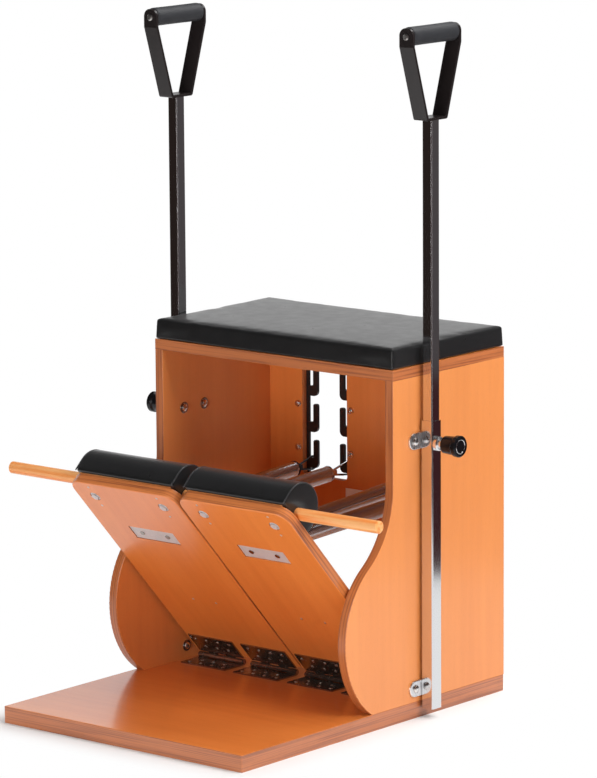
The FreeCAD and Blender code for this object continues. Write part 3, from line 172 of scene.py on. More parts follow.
# Studio: the fill light, the white background and the floor's soft shadow round the base
FILL_TINT, FILL_STRENGTH = (1.0, 0.985, 0.965, 1), 0.28
WHITE = (1, 1, 1, 1)
FLOOR_HALF, FLOOR_TONE = 14, (0.86, 0.86, 0.86, 1)
SHADOW_REACH, SHADOW_GLOW = 0.09, 0.05

# Softboxes: name, place, size, watts, and whether they show in reflections
SOFTBOXES = (
    ("key softbox", (3.5, 0.2, 2.8), 2.2, 129.0, False),
    ("front softbox", (0.8, -4.3, 0.8), 1.4, 88.0, True),
    ("top softbox", (0.7, 1.4, 3.4), 2.4, 80.0, True),
    ("rear softbox", (-2.4, 3.2, 2.4), 2.0, 70.0, False))
LIGHT_AIM = Vector((0, 0, 0.45))

# Dark cards for reflections: name, bearing, distance, foot, top, width and tone
REAR, FRONT, CAMERA_SIDE = (0.6397, 0.7686), (-0.6397, -0.7686), (0.6397, -0.7686)
FLAGS = (
    ("low rear flag", REAR, 1.36, 0.018, 0.42, 3.0, (0.050, 0.018, 0.020, 1)),
    ("high rear flag", REAR, 1.36, 0.42, 2.2, 3.0, (0.080, 0.070, 0.072, 1)),
    ("front flag", FRONT, 2.1, 0.005, 2.6, 3.4, (0.022, 0.015, 0.013, 1)),
    ("camera flag", CAMERA_SIDE, 1.5, 0.005, 2.4, 3.3, (0.060, 0.040, 0.040, 1)))
BEHIND_FLAG = ((-0.60, 0.54, 0.0), (-0.24, 0.84, 0.0), (-0.24, 0.84, 0.5), (-0.60, 0.54, 0.5))
BEHIND_TONE = (0.030, 0.018, 0.014, 1)
CEILING_HALF, CEILING_HEIGHT, CEILING_TONE = 7, 3.75, (0.016, 0.014, 0.014, 1)

# Camera fitted to the photograph: azimuth, height and roll in degrees, place in metres, lens in mm
CAMERA_ANGLES = (39.7715, 10.2855, -0.3914)
CAMERA_PLACE = (5.1136, -6.02235, 2.0087)
CAMERA_LENS, CAMERA_SENSOR, CAMERA_CLIP_END = 210.68, 36.0, 100.0


def metres(name, description, default):
    """A length in metres for the sidebar."""
    return FloatProperty(name=name, description=description, default=default, unit="LENGTH")


def swatch(name, description, *default):
    """An opaque colour for the sidebar."""
    return FloatVectorProperty(
        name=name, description=description, default=default + (1.0,), subtype="COLOR", size=4, min=0, max=1)


class ChairSizes(PropertyGroup):
    """Sizes of the pieces that dress the chair."""
    pedal_angle: FloatProperty(
        name="Pedal angle", description="Rest angle of the pedals above level",
        default=math.radians(47.08), subtype="ANGLE")
    board_low: metres(
        "Pedal underside", "Height of a level pedal's underside above its hinge axis", 0.0063)
    pedal_thick: metres("Pedal thickness", "Thickness of the pedal boards", 0.020)
    pad_reach: metres("Pad reach", "Distance from the hinge axis to the middle of a pad", 0.474)
    pad_length: metres("Pad length", "Length of a pad across its pedal", 0.228)
    pad_width: metres("Pad width", "Width of a pad along its pedal", 0.092)
    pad_height: metres("Pad height", "Height of a pad above its pedal", 0.070)
    cushion_swell: metres("Cushion swell", "Most that the stuffing pushes the covers out", 0.0025)
    piping_radius: metres("Piping radius", "Radius of the piping round the pad ends", 0.0013)
    spring_wire: metres("Spring wire", "Wire diameter of the coils", 0.0032)
    spring_radius: metres("Spring radius", "Outer radius of the coils", 0.0145)
    spring_turns: IntProperty(
        name="Spring turns", description="Turns of each closely wound coil", default=108, min=8, max=140)
    spring_length: metres(
        "Spring length", "Length of a spring from its hook plate to its eye", 0.463007)
    coil_start: metres("Coil start", "Where the coil leaves its rear cap", 0.05615)
    coil_end: metres("Coil end", "Distance from the eye to the coil's front cap", 0.0400)
    anchor_spread: metres("Eye spread", "Distance of a spring's eye from its pedal's middle", 0.0296)
    hinge_spread: metres("Hinge spread", "Distance of a hinge's middle from its pedal's middle", 0.0627)
    bolt_radius: metres("Bolt head radius", "Radius of the dome bolts' heads", 0.0065)
    bolt_height: metres("Bolt head height", "Height of the dome bolts' heads", 0.0045)
    screw_radius: metres("Screw radius", "Radius of the hinge screws' heads", 0.0036)


class ChairColours(PropertyGroup):
    """Colours of the chair's finishes."""
    ply_light: swatch("Ply, light", "Paler tone of the varnished faces", 0.790, 0.248, 0.051)
    ply_deep: swatch("Ply, deep", "Deeper tone of the varnished faces", 0.630, 0.166, 0.027)
    edge_light: swatch("Ply edge, light", "Paler layers on the board edges", 0.490, 0.148, 0.046)
    edge_deep: swatch("Ply edge, deep", "Darker layers on the board edges", 0.195, 0.048, 0.018)
    beech: swatch("Beech", "Colour of the dowel", 0.860, 0.450, 0.180)
    vinyl: swatch("Vinyl", "Colour of the upholstery", 0.0045, 0.0045, 0.005)
    piping: swatch("Piping", "Colour of the piping on the pads", 0.030, 0.030, 0.032)
    foam: swatch("Foam", "Colour of the hand grips", 0.018, 0.019, 0.022)
    label: swatch("Label", "Colour of the blank label", 0.82, 0.76, 0.73)


# Materials

class Nodes:
    """A node tree that is emptied and then filled."""

    def __init__(self, owner):
        owner.use_nodes = True
        self.tree = owner.node_tree
        self.tree.nodes.clear()

    def add(self, kind, sockets=None, **settings):
        """A node with its settings made and its sockets filled."""
        node = self.tree.nodes.new(kind)
        for key, value in settings.items():
            setattr(node, key, value)
        for key, value in (sockets or {}).items():
            self.put(node, key, value)
        return node

    def put(self, node, key, value):
        """Fill one socket, with a link or with a constant."""
        socket = node.inputs[key]
        if isinstance(value, bpy.types.NodeSocket):
            self.tree.links.new(value, socket)
        else:
            socket.default_value = value

    def maths(self, operation, first, second=0.0):
        return self.add("ShaderNodeMath", {0: first, 1: second}, operation=operation).outputs[0]

    def vectors(self, operation, first, second=(0, 0, 0)):
        return self.add("ShaderNodeVectorMath", {0: first, 1: second}, operation=operation).outputs[0]

    def weighted(self, first, first_share, second, second_share):
        """The sum of two sockets, each times its share."""
        return self.maths("ADD", self.maths("MULTIPLY", first, first_share),
                          self.maths("MULTIPLY", second, second_share))

    def shows_background(self):
        """Whether a ray is one that shows the background, as a socket."""
        path = self.add("ShaderNodeLightPath")
        shown = path.outputs["Is Camera Ray"]
        for name in ("Is Glossy Ray", "Is Transmission Ray"):
            shown = self.maths("MAXIMUM", shown, path.outputs[name])
        return shown

    def shaders(self, share, first, second):
        """Two shaders, mixed by the second one's share."""
        sockets = {0: share, 1: first.outputs[0], 2: second.outputs[0]}
        return self.add("ShaderNodeMixShader", sockets).outputs[0]


class Finish(Nodes):
    """One surface material and the nodes that make it."""

    def __init__(self, name):
        self.material = bpy.data.materials.new(name)
        super().__init__(self.material)
        self.surface = self.add("ShaderNodeBsdfPrincipled")
        self.add("ShaderNodeOutputMaterial", {0: self.surface.outputs[0]})
        coords = self.add("ShaderNodeTexCoord")
        self.place = coords.outputs["Object"]
        self.normal = coords.outputs["Normal"]

    def shade(self, **sockets):
        """Fill the surface's sockets, whose names have spaces for underscores."""
        for key, value in sockets.items():
            self.put(self.surface, key.replace("_", " "), value)

    def mix(self, share, first, second):
        node = self.add("ShaderNodeMix", data_type="RGBA", blend_type="MIX")
        for index, value in ((0, share), (6, first), (7, second)):
            self.put(node, index, value)
        return node.outputs[2]

    def turned(self, vector, angle, centre=(0, 0, 0)):
        """A vector turned round X about a centre."""
        sockets = {"Vector": vector, "Center": centre, "Angle": angle}
        return self.add("ShaderNodeVectorRotate", sockets, rotation_type="X_AXIS").outputs[0]

    def stretch(self, vector, scale):
        return self.add("ShaderNodeMapping", {"Vector": vector, "Scale": scale}).outputs[0]

    def noise(self, vector, scale=1.0, detail=2.0):
        sockets = {"Vector": vector, "Scale": scale, "Detail": detail}
        return self.add("ShaderNodeTexNoise", sockets).outputs[0]

    def ramp(self, value, *stops):
        """Grey levels at places along a value."""
        node = self.add("ShaderNodeValToRGB", {"Fac": value})
        for _ in stops[2:]:
            node.color_ramp.elements.new(0.5)
        for element, (place, level) in zip(node.color_ramp.elements, stops):
            element.position = place
            element.color = (level, level, level, 1)
        return node.outputs[0]

    def spread(self, value, low, high):
        """A value from 0 to 1, spread from low to high."""
        return self.add("ShaderNodeMapRange", {"Value": value, "To Min": low, "To Max": high}).outputs[0]

    def bump(self, height, strength, distance):
        """Roughen the surface's normal and give the finished material."""
        sockets = {"Height": height, "Strength": strength, "Distance": distance}
        self.shade(Normal=self.add("ShaderNodeBump", sockets).outputs[0])
        return self.material


def colour(name):
    """A colour of the sidebar's settings."""
    return tuple(getattr(bpy.context.scene.chair_colours, name))


def varnished_ply(name, thick_axis, grain_axis, layer, tilt=0.0, pale_share=0.15, gloss=0.4, lift=0.0):
    """Orange varnished ply: grain on its faces, layers on its edges, and lift that paints a paler, lit look
    onto the faces.
    """
    finish = Finish(name)
    place, normal = finish.place, finish.normal
    if tilt:
        place = finish.turned(place, tilt, HINGE)
        normal = finish.turned(normal, tilt)

    def grain(cells, share, detail=2.0):
        """Noise that is drawn out along the grain."""
        scale = [cells, cells, cells]
        scale[grain_axis] = cells * share
        return finish.noise(finish.stretch(place, scale), detail=detail)
    broad = grain(BROAD_TONES, LONG_GRAIN, detail=3.0)
    bands = grain(GRAIN_BANDS, LONG_GRAIN, detail=4.0)
    fibre = grain(FINE_FIBRES, LONG_GRAIN, detail=3.0)
    fleck = finish.ramp(grain(FLECKS, SHORT_GRAIN), (0.30, 0.0), (0.40, 1.0))
    tone = finish.ramp(finish.weighted(broad, 0.7, bands, 0.3), (0.28, 0.0), (0.72, 1.0))
    face = finish.mix(tone, colour("ply_deep"), colour("ply_light"))
    face = finish.mix(finish.spread(fibre, 0.0, 0.16), face, colour("ply_deep"))
    face = finish.mix(finish.spread(fleck, 0.10, 0.0), face, colour("edge_deep"))
    # Lift mixes the pale beech tone into the faces: painted light that makes the brightly lit boards paler
    # than the shaded ones
    face = finish.mix(lift, face, colour("beech"))
    through = [5.0, 5.0, 5.0]
    through[thick_axis] = 1 / layer
    layers = finish.noise(finish.stretch(place, through), detail=3.0)
    lines = finish.ramp(layers, (0.34, 0.75), (0.43, 0.45), (0.51, 0.10), (0.66, 0.0))
    pale = finish.mix(pale_share, colour("edge_light"), colour("ply_light"))
    edge = finish.mix(lines, pale, colour("edge_deep"))
    edge = finish.mix(finish.spread(bands, 0.0, 0.25), edge, colour("edge_deep"))
    across = finish.add("ShaderNodeSeparateXYZ", {0: normal}).outputs[thick_axis]
    flat = finish.maths("ABSOLUTE", across)
    on_face = finish.ramp(flat, (0.55, 0.0), (0.75, 1.0))
    finish.shade(Base_Color=finish.mix(on_face, edge, face))
    finish.shade(Roughness=finish.spread(fibre, 0.34, 0.46), Coat_Weight=gloss, Coat_Roughness=0.17)
    return finish.bump(fibre, strength=0.10, distance=0.0004)


def pale_beech(name):
    """Smooth turned beech, its grain along X."""
    finish = Finish(name)
    bands = finish.noise(finish.stretch(finish.place, (5.0, 140.0, 140.0)), detail=4.0)
    specks = finish.noise(finish.stretch(finish.place, (130.0, 900.0, 900.0)))
    fleck = finish.ramp(specks, (0.33, 0.0), (0.42, 1.0))
    body = finish.mix(finish.ramp(bands, (0.35, 0.0), (0.65, 1.0)), colour("ply_light"), colour("beech"))
    finish.shade(Base_Color=finish.mix(finish.spread(fleck, 0.25, 0.0), body, colour("ply_deep")))
    finish.shade(Roughness=0.42, Coat_Weight=0.2, Coat_Roughness=0.2)
    return finish.bump(bands, strength=0.08, distance=0.0004)


def black_vinyl(name, tint):
    """Upholstery vinyl with a pebbled grain and a soft sheen."""
    finish = Finish(name)
    cells = {"Vector": finish.place, "Scale": 620.0}
    pebbles = finish.add("ShaderNodeTexVoronoi", cells, feature="SMOOTH_F1").outputs[0]
    creases = finish.noise(finish.place, scale=45.0, detail=5.0)
    finish.shade(Base_Color=finish.mix(finish.spread(creases, 0.0, 0.5), colour(tint), VINYL_WORN))
    finish.shade(Roughness=finish.spread(creases, 0.24, 0.37), Specular_IOR_Level=0.62, Sheen_Weight=0.08)
    return finish.bump(finish.weighted(pebbles, 0.6, creases, 0.6), strength=0.22, distance=0.0006)


def plated(name, tint, roughness, brushed):
    """Plated or polished metal with faint polishing marks."""
    finish = Finish(name)
    marks = finish.noise(finish.stretch(finish.place, (240.0, 240.0, 14.0)), detail=4.0)
    cloud = finish.noise(finish.place, scale=22.0, detail=3.0)
    darker = tuple(0.82 * c for c in tint[:3]) + (1.0,)
    finish.shade(Metallic=1.0, Base_Color=finish.mix(finish.spread(cloud, 0.0, 0.6), tint, darker))
    finish.shade(Roughness=finish.spread(marks, roughness, roughness * 1.8 + brushed))
    return finish.bump(marks, strength=brushed, distance=0.0002)


def painted(name, tint, roughness, orange_peel=0.05, gloss=0.5):
    """Paint or moulded plastic with a fine surface texture."""
    finish = Finish(name)
    texture = finish.noise(finish.place, scale=420.0, detail=3.0)
    wear = finish.noise(finish.place, scale=30.0, detail=4.0)
    lighter = tuple(min(1.0, 1.7 * c + 0.004) for c in tint[:3]) + (1.0,)
    finish.shade(Base_Color=finish.mix(finish.spread(wear, 0.0, 0.6), tint, lighter))
    finish.shade(Roughness=finish.spread(wear, roughness * 0.85, roughness * 1.2), Specular_IOR_Level=gloss)
    return finish.bump(texture, strength=orange_peel, distance=0.0004)


def foam_rubber(name):
    """Closed-cell foam with tiny pores."""
    finish = Finish(name)
    pores = finish.add("ShaderNodeTexVoronoi", {"Vector": finish.place, "Scale": 900.0}).outputs[0]
    cloud = finish.noise(finish.place, scale=60.0, detail=3.0)
    finish.shade(Base_Color=finish.mix(cloud, colour("foam"), FOAM_PALE))
    finish.shade(Roughness=finish.spread(cloud, 0.48, 0.66))
    return finish.bump(pores, strength=0.35, distance=0.0005)


def dress(names, material):
    """Give CAD nodes one material."""
    for name in names:
        slots = NODES[name].data.materials
        slots.clear()
        slots.append(material)


def material_named(name, make, *sizes):
    """A material that several pieces share, made once."""
    return bpy.data.materials.get(name) or make(name, *sizes)


def metal(name):
    """One of the listed metals."""
    return material_named(name, plated, *METALS[name])


# Meshes

def new_object(name, mesh, material, smooth=True):
    """An object in the scene with one material, shaded smooth or flat."""
    obj = bpy.data.objects.new(name, mesh)
    bpy.context.scene.collection.objects.link(obj)
    mesh.materials.append(material)
    for polygon in mesh.polygons:
        polygon.use_smooth = smooth
    return obj


def piece(name, make, material, smooth=True):
    """An object whose mesh is filled by a function that works on a bmesh."""
    shape = bmesh.new()
    make(shape)
    bmesh.ops.recalc_face_normals(shape, faces=shape.faces)
    mesh = bpy.data.meshes.new(name)
    shape.to_mesh(mesh)
    shape.free()
    return new_object(name, mesh, material, smooth)


def rings(shape, loops, closed=False, caps=True):
    """Skin a run of point loops that all have the same count."""
    rows = [[shape.verts.new(point) for point in loop] for loop in loops]
    count = len(rows[0])
    pairs = list(zip(rows, rows[1:])) + ([(rows[-1], rows[0])] if closed else [])
    for a, b in pairs:
        for i in range(count):
            shape.faces.new((a[i], a[(i + 1) % count], b[(i + 1) % count], b[i]))
    if caps and not closed:
        shape.faces.new(rows[0][::-1])
        shape.faces.new(rows[-1])


def steps(half, fine=(0.0, 0.0012, 0.0026, 0.0044, 0.0070, 0.0105), coarse=0.0062):
    """Grid places along one side of a box, closer together near its ends."""
    ends = [half - f for f in fine if f < half * 0.8]
    inner = ends[-1]
    count = max(1, round(2 * inner / coarse))
    middle = [-inner + 2 * inner * k / count for k in range(count + 1)]
    return [-e for e in ends[:-1]] + middle + ends[-2::-1]


def box_grid(shape, sides, shaped):
    """A closed box of grids whose points pass through a shaping function."""
    last = [len(side) - 1 for side in sides]
    verts = {}

    def vert(index):
        if index not in verts:
            verts[index] = shape.verts.new(shaped(Vector(side[i] for side, i in zip(sides, index))))
        return verts[index]
    for axis in range(3):
        first, second = (axis + 1) % 3, (axis + 2) % 3
        for level in (0, last[axis]):
            for i in range(last[first]):
                for j in range(last[second]):
                    corners = []
                    for di, dj in ((0, 0), (1, 0), (1, 1), (0, 1)):
                        index = [0, 0, 0]
                        index[axis], index[first], index[second] = level, i + di, j + dj
                        corners.append(vert(tuple(index)))
                    shape.faces.new(corners)


def turn_angles(count):
    """Angles evenly spaced round a circle."""
    return [2 * math.pi * i / count for i in range(count)]


def lathe(shape, profile, place, segments, closed=False):
    """Turn a profile of radius and height about a placed Z axis."""
    turns = turn_angles(segments)
    loops = [[place @ Vector((r * math.cos(a), r * math.sin(a), z)) for a in turns] for r, z in profile]
    rings(shape, loops, closed)


def tube(shape, path, radius, segments=8, closed=False):
    """A round tube along a path of points, its section carried without twist."""
    points = [Vector(p) for p in path]
    count = len(points)
    turns = turn_angles(segments)
    loops = []
    side = None
    for i, point in enumerate(points):
        before = points[i - 1] if i or closed else point
        after = points[(i + 1) % count] if i + 1 < count or closed else point
        heading = (after - before).normalized()
        side = heading.orthogonal() if side is None else side - heading * side.dot(heading)
        side.normalize()
        other = heading.cross(side)
        loops.append([point + (side * math.cos(a) + other * math.sin(a)) * radius for a in turns])
    rings(shape, loops, closed)


def evaluated(obj):
    """A copy of an object's mesh with its modifiers applied."""
    graph = bpy.context.evaluated_depsgraph_get()
    return bpy.data.meshes.new_from_object(obj.evaluated_get(graph))


def points_of(mesh):
    """A mesh's points as an array, one row each."""
    places = np.zeros(len(mesh.vertices) * 3)
    mesh.vertices.foreach_get("co", places)
    return places.reshape(-1, 3)


def stuff(obj, cap, floor_level, shares=(1.0, 1.0, 1.0)):
    """Swell a cover with cloth pressure, cap how far it moves and keep its base flat."""
    material = obj.data.materials[0]
    rest = points_of(obj.data)
    cover = obj.modifiers.new("stuffing", "CLOTH")
    for key, value in STUFFING.items():
        setattr(cover.settings, key, value)
    cover.settings.effector_weights.gravity = 0
    cover.point_cache.frame_start = 1
    cover.point_cache.frame_end = STUFFING_FRAMES
    for step in range(1, STUFFING_FRAMES + 1):
        bpy.context.scene.frame_set(step)
    moved = points_of(evaluated(obj))
    obj.modifiers.clear()
    bpy.context.scene.frame_set(1)
    shift = (moved - rest) * np.array(shares)
    far = np.linalg.norm(shift, axis=1, keepdims=True)
    rest = rest + shift * np.minimum(1.0, cap / np.maximum(far, LEAST_MOVE))
    rest[:, 2] = np.maximum(rest[:, 2], floor_level)
    obj.data.vertices.foreach_set("co", rest.ravel())
    relax = obj.modifiers.new("relax", "SMOOTH")
    relax.factor = 0.4
    relax.iterations = 2
    obj.data = evaluated(obj)
    obj.modifiers.clear()
    obj.data.materials.clear()
    obj.data.materials.append(material)
    for polygon in obj.data.polygons:
        polygon.use_smooth = True
    fine = obj.modifiers.new("fine", "SUBSURF")
    fine.levels = 1
    fine.render_levels = 1


def pedal_place(side):
    """The frame of one pedal: hinge axis at its origin, free end along -Y, board level."""
    turn = Matrix.Rotation(-bpy.context.scene.chair_sizes.pedal_angle, 4, "X")
    return Matrix.Translation((side * PEDAL_CENTRE, HINGE.y, HINGE.z)) @ turn


def facing(origin, direction, around=0.0):
    """A placed Z axis that points in a direction."""
    turn = Vector(direction).to_track_quat("Z", "Y").to_matrix().to_4x4()
    return Matrix.Translation(origin) @ turn @ Matrix.Rotation(around, 4, "Z")


def dome(shape, place, radius, height):
    """A smooth dome that covers a bolt's head."""
    wide = DOME_OVERHANG * radius
    profile = [(wide, 0.0)]
    for k in range(DOME_RINGS):
        a = DOME_STEP * k
        profile.append((wide * math.cos(a), (DOME_SHOULDER + DOME_RISE * math.sin(a)) * height))
    lathe(shape, profile, place, DOME_SEGMENTS)


def screw_head(shape, place, radius, height):
    """A low domed head with a cross recess."""
    turns = turn_angles(SCREW_SEGMENTS)

    def ring(level, size):
        return [place @ Vector((size(a) * math.cos(a), size(a) * math.sin(a), level)) for a in turns]

    def cross(a):
        return radius * SCREW_CROSS * (1 + SCREW_CROSS_ARMS * math.cos(4 * a))
    loops = [ring(rise * height, lambda a, share=share: radius * share) for rise, share in SCREW_RINGS]
    loops.append(ring(height, cross))
    loops.append(ring(SCREW_CROSS_FLOOR * height, lambda a: SCREW_CROSS_TAPER * cross(a)))
    rings(shape, loops)


# Operators

class CHAIR_OT_boards(Operator):
    """Varnish the plywood boards and the dowel"""
    bl_idname = "chair.boards"
    bl_label = "Boards and dowel"

    def execute(self, context):
        angle = context.scene.chair_sizes.pedal_angle
        # The side panels get lift, a paler face painted on as light, while the other boards keep the deeper
        # tones
        painted_lit_panels = varnished_ply("varnished ply, panels", X, Z, layer=0.0022, gloss=0.45, lift=0.2)
        dress(["left_side_panel", "right_side_panel"], painted_lit_panels)
        dress(["back_panel"], varnished_ply("varnished ply, back", Y, Z, layer=0.0030))
        dress(["base_board"], varnished_ply("varnished ply, base", Z, X, layer=0.0019, gloss=0.9))
        dress(["seat_board"], varnished_ply("varnished ply, seat board", Z, X, layer=0.0038))
        level = varnished_ply("varnished ply, pedals", Z, Y, 0.0026, tilt=angle, pale_share=0.4, gloss=0.55)
        dress(["left_pedal_board", "right_pedal_board"], level)
        dress(["pedal_dowel"], pale_beech("pale beech"))
        dress(["left_pad_core", "right_pad_core"], pale_beech("raw core wood"))
        return {"FINISHED"}


class CHAIR_OT_metalwork(Operator):
    """Finish the tubes, plates, hinges, bolts and knobs"""
    bl_idname = "chair.metalwork"
    bl_label = "Metalwork"

    def execute(self, context):
        paint = painted("black paint", BLACK_PAINT, roughness=0.29)
        moulding = painted("black moulding", BLACK_MOULDING, roughness=0.24, gloss=0.3)
        dress(["hook_plate_bolts", "bracket_bolts"], metal("dome bolts"))
        dress(["hinge_base_leaves", "hinge_pins"], metal("dark hinge steel"))
        for word in SIDES:
            for name, nodes in SIDE_METALS.items():
                dress(["%s_%s" % (word, node) for node in nodes], metal(name))
            dress(["%s_%s" % (word, node) for node in SIDE_BLACK], paint)
            dress([word + "_clamp_knob"], moulding)
        return {"FINISHED"}


class CHAIR_OT_seat_cushion(Operator):
    """Make the upholstered seat cushion"""
    bl_idname = "chair.seat_cushion"
    bl_label = "Seat cushion"

    def execute(self, context):
        swell = context.scene.chair_sizes.cushion_swell
        low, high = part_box("seat_cushion")
        middle = (low + high) / 2
        half = (high - low) / 2 - Vector((1, 1, 1)) * swell * CUSHION_ROOM

        def shaped(point):
            """Round a box point's edges, draw its sides in and crown its top."""
            up = point.z > 0
            radius = Vector((CUSHION_CORNER, CUSHION_CORNER, CUSHION_RIM if up else CUSHION_FOOT))
            core = Vector(max(-(half[i] - radius[i]), min(half[i] - radius[i], point[i])) for i in range(3))
            out = Vector((point[i] - core[i]) / radius[i] for i in range(3))
            if out.length > 1:
                out.normalize()
            x, y, z = (core[i] + out[i] * radius[i] for i in range(3))
            share_x, share_y, share_z = x / half.x, y / half.y, z / half.z
            side = CUSHION_TAPER * (share_z + 1) / 2
            x -= share_x * (side + CUSHION_BOW * (1 - share_y ** 2))
            y -= share_y * (side + CUSHION_BOW * (1 - share_x ** 2))
            if up:
                dip = 1 - max(0.0, 1 - share_x ** 4) * max(0.0, 1 - share_y ** 4)
                z -= CUSHION_CROWN * dip * share_z
            return middle + Vector((x, y, z))

        def make(shape):
            box_grid(shape, [steps(h) for h in half], shaped)
        vinyl = material_named("black vinyl", black_vinyl, "vinyl")
        cushion = piece("seat_upholstery", make, vinyl)
        stuff(cushion, swell, low.z)
        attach(cushion, "frame")
        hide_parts("seat_cushion")
        return {"FINISHED"}


class CHAIR_OT_pedal_pads(Operator):
    """Make the two upholstered rolls and the piping round their ends"""
    bl_idname = "chair.pedal_pads"
    bl_label = "Pedal pads"

    def execute(self, context):
        sizes = context.scene.chair_sizes
        vinyl = material_named("black vinyl", black_vinyl, "vinyl")
        trim = black_vinyl("pad piping", "piping")
        swell = sizes.cushion_swell
        base = sizes.board_low + sizes.pedal_thick + PAD_GAP

        def section(inset, across, lift=0.0):
            """Points round a roll's section, its flat foot first."""
            half = sizes.pad_width / 2 - inset
            foot = base + lift
            crown = base + sizes.pad_height - PAD_GAP - inset
            spring_line = crown - half
            rise = spring_line - foot
            flat = [(-half + 2 * half * k / PAD_FLAT_STEPS, foot) for k in range(PAD_FLAT_STEPS + 1)]
            levels = [foot + rise * k / PAD_SIDE_STEPS for k in range(1, PAD_SIDE_STEPS)]
            turns = [math.pi * k / PAD_ARC_STEPS for k in range(PAD_ARC_STEPS + 1)]
            arc = [(half * math.cos(a), spring_line + half * math.sin(a)) for a in turns]
            points = flat + [(half, z) for z in levels] + arc + [(-half, z) for z in reversed(levels)]
            return [Vector((across, -sizes.pad_reach + y, z)) for y, z in points]

        def make(shape):
            half = sizes.pad_length / 2 - swell * PAD_END_ROOM
            inset = swell * PAD_ROOM
            end = [(half, share * sizes.pad_width) for share in PAD_END_SHARES]
            end += [(half - setback, step) for setback, step in PAD_END_ROUNDING]
            loops = [section(inset + step, -across, step / 2) for across, step in end]
            run = half - PAD_END_SETBACK
            loops += [section(inset, -run + 2 * run * k / PAD_RUN_STEPS) for k in range(PAD_RUN_STEPS + 1)]
            loops += [section(inset + step, across, step / 2) for across, step in reversed(end)]
            rings(shape, loops)

        def make_piping(shape):
            for sign in (-1, 1):
                across = sign * (sizes.pad_length / 2 - PIPING_SETBACK * sizes.piping_radius)
                outline = section(PIPING_INSET * sizes.piping_radius, across)
                loop = [p for p in outline if p.z > base + PIPING_FOOT]
                first, last = outline[PAD_FLAT_STEPS], outline[0]
                tube(shape, [first] + loop + [last], sizes.piping_radius)
        for word, side in SIDES.items():
            body = word + "_pedal"
            roll = piece(word + "_pad_upholstery", make, vinyl)
            stuff(roll, swell, base, shares=(0.25, 0.8, 0.8))
            piping = piece(word + "_pad_piping", make_piping, trim)
            for obj in (roll, piping):
                obj.matrix_world = pedal_place(side)
                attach(obj, body)
            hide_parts(word + "_pedal_pad")
        return {"FINISHED"}


class CHAIR_OT_springs(Operator):
    """Wind the four closely coiled springs"""
    bl_idname = "chair.springs"
    bl_label = "Springs"

    def execute(self, context):
        sizes = context.scene.chair_sizes
        steel = metal("spring chrome")
        mean = sizes.spring_radius - sizes.spring_wire / 2
        for word, side in SIDES.items():
            for row, sign in SPRING_ROWS.items():
                key = "%s_%s" % (word, row)
                hold = Vector(JOINTS[key + "_spring_swing"]["pos_m"])
                line = Vector(JOINTS[key + "_spring_stretch"]["axis"])
                eye = hold + line * sizes.spring_length
                eye.x = side * (PEDAL_CENTRE + sign * sizes.anchor_spread)
                run = (eye - hold).normalized()
                across = (Vector((1, 0, 0)) - run * run.x).normalized()
                rise = run.cross(across)
                length = (eye - hold).length
                start = sizes.coil_start - COIL_OVERLAP
                end = length - sizes.coil_end + COIL_OVERLAP
                count = sizes.spring_turns * COIL_POINTS
                path = []
                for i in range(count + 1):
                    a = 2 * math.pi * i / COIL_POINTS
                    spot = across * math.cos(a) + rise * math.sin(a)
                    path.append(hold + run * (start + (end - start) * i / count) + spot * mean)
                coil = piece(key + "_coil", lambda shape: tube(shape, path, sizes.spring_wire / 2), steel)
                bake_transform(coil)
                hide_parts(key + "_spring")
        return {"FINISHED"}


class CHAIR_OT_hand_grips(Operator):
    """Make the foam sleeves on the handles"""
    bl_idname = "chair.hand_grips"
    bl_label = "Hand grips"

    def execute(self, context):
        foam = foam_rubber("grey foam")
        for word in SIDES:
            low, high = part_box(word + "_grip")
            middle = (low + high) / 2
            half = (high.y - low.y) / 2
            radius = (high.z - low.z) / 2
            profile = [(GRIP_BORE, -half)]
            profile += [(radius * share, -half + setback) for share, setback in GRIP_END]
            rounding = GRIP_END[-1][1]
            for k in range(1, GRIP_STEPS):
                waist = 1 - GRIP_WAIST * math.sin(math.pi * k / GRIP_STEPS)
                profile.append((radius * waist, -half + rounding + 2 * (half - rounding) * k / GRIP_STEPS))
            profile += [(r, -z) for r, z in profile[len(GRIP_END)::-1]]
            place = facing(middle, (0, 1, 0))

            def make(shape):
                lathe(shape, profile, place, GRIP_SEGMENTS)
            grip = piece(word + "_foam_grip", make, foam)
            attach(grip, word + "_push_pole")
            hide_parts(word + "_grip")
        return {"FINISHED"}


class CHAIR_OT_hinge_screws(Operator):
    """Set the screws in the hinge leaves"""
    bl_idname = "chair.hinge_screws"
    bl_label = "Hinge screws"

    def execute(self, context):
        sizes = context.scene.chair_sizes
        steel = metal("screw steel")

        def leaf_screws(shape, middle, axis, level, up, turn):
            """Screws in one leaf of each hinge of a pedal."""
            for sign in (-1, 1):
                for x, y in HINGE_SCREW_SPOTS:
                    origin = Vector((middle + sign * sizes.hinge_spread + x, axis + y, level))
                    place = facing(origin, (0, 0, up), x * turn)
                    screw_head(shape, place, sizes.screw_radius, HINGE_SCREW_HEIGHT)

        def base_screws(shape):
            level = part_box("base_board")[1].z + HINGE_LEAF - HINGE_SCREW_SINK
            for side in SIDES.values():
                leaf_screws(shape, side * PEDAL_CENTRE, HINGE.y, level, 1, BASE_SCREW_TURN)

        def pedal_screws(shape):
            level = sizes.board_low - HINGE_LEAF + HINGE_SCREW_SINK
            leaf_screws(shape, 0.0, 0.0, level, -1, PEDAL_SCREW_TURN)
        screws = piece("base_hinge_screws", base_screws, steel)
        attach(screws, "frame")
        for word, side in SIDES.items():
            screws = piece(word + "_pedal_hinge_screws", pedal_screws, steel)
            screws.matrix_world = pedal_place(side)
            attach(screws, word + "_pedal")
        return {"FINISHED"}


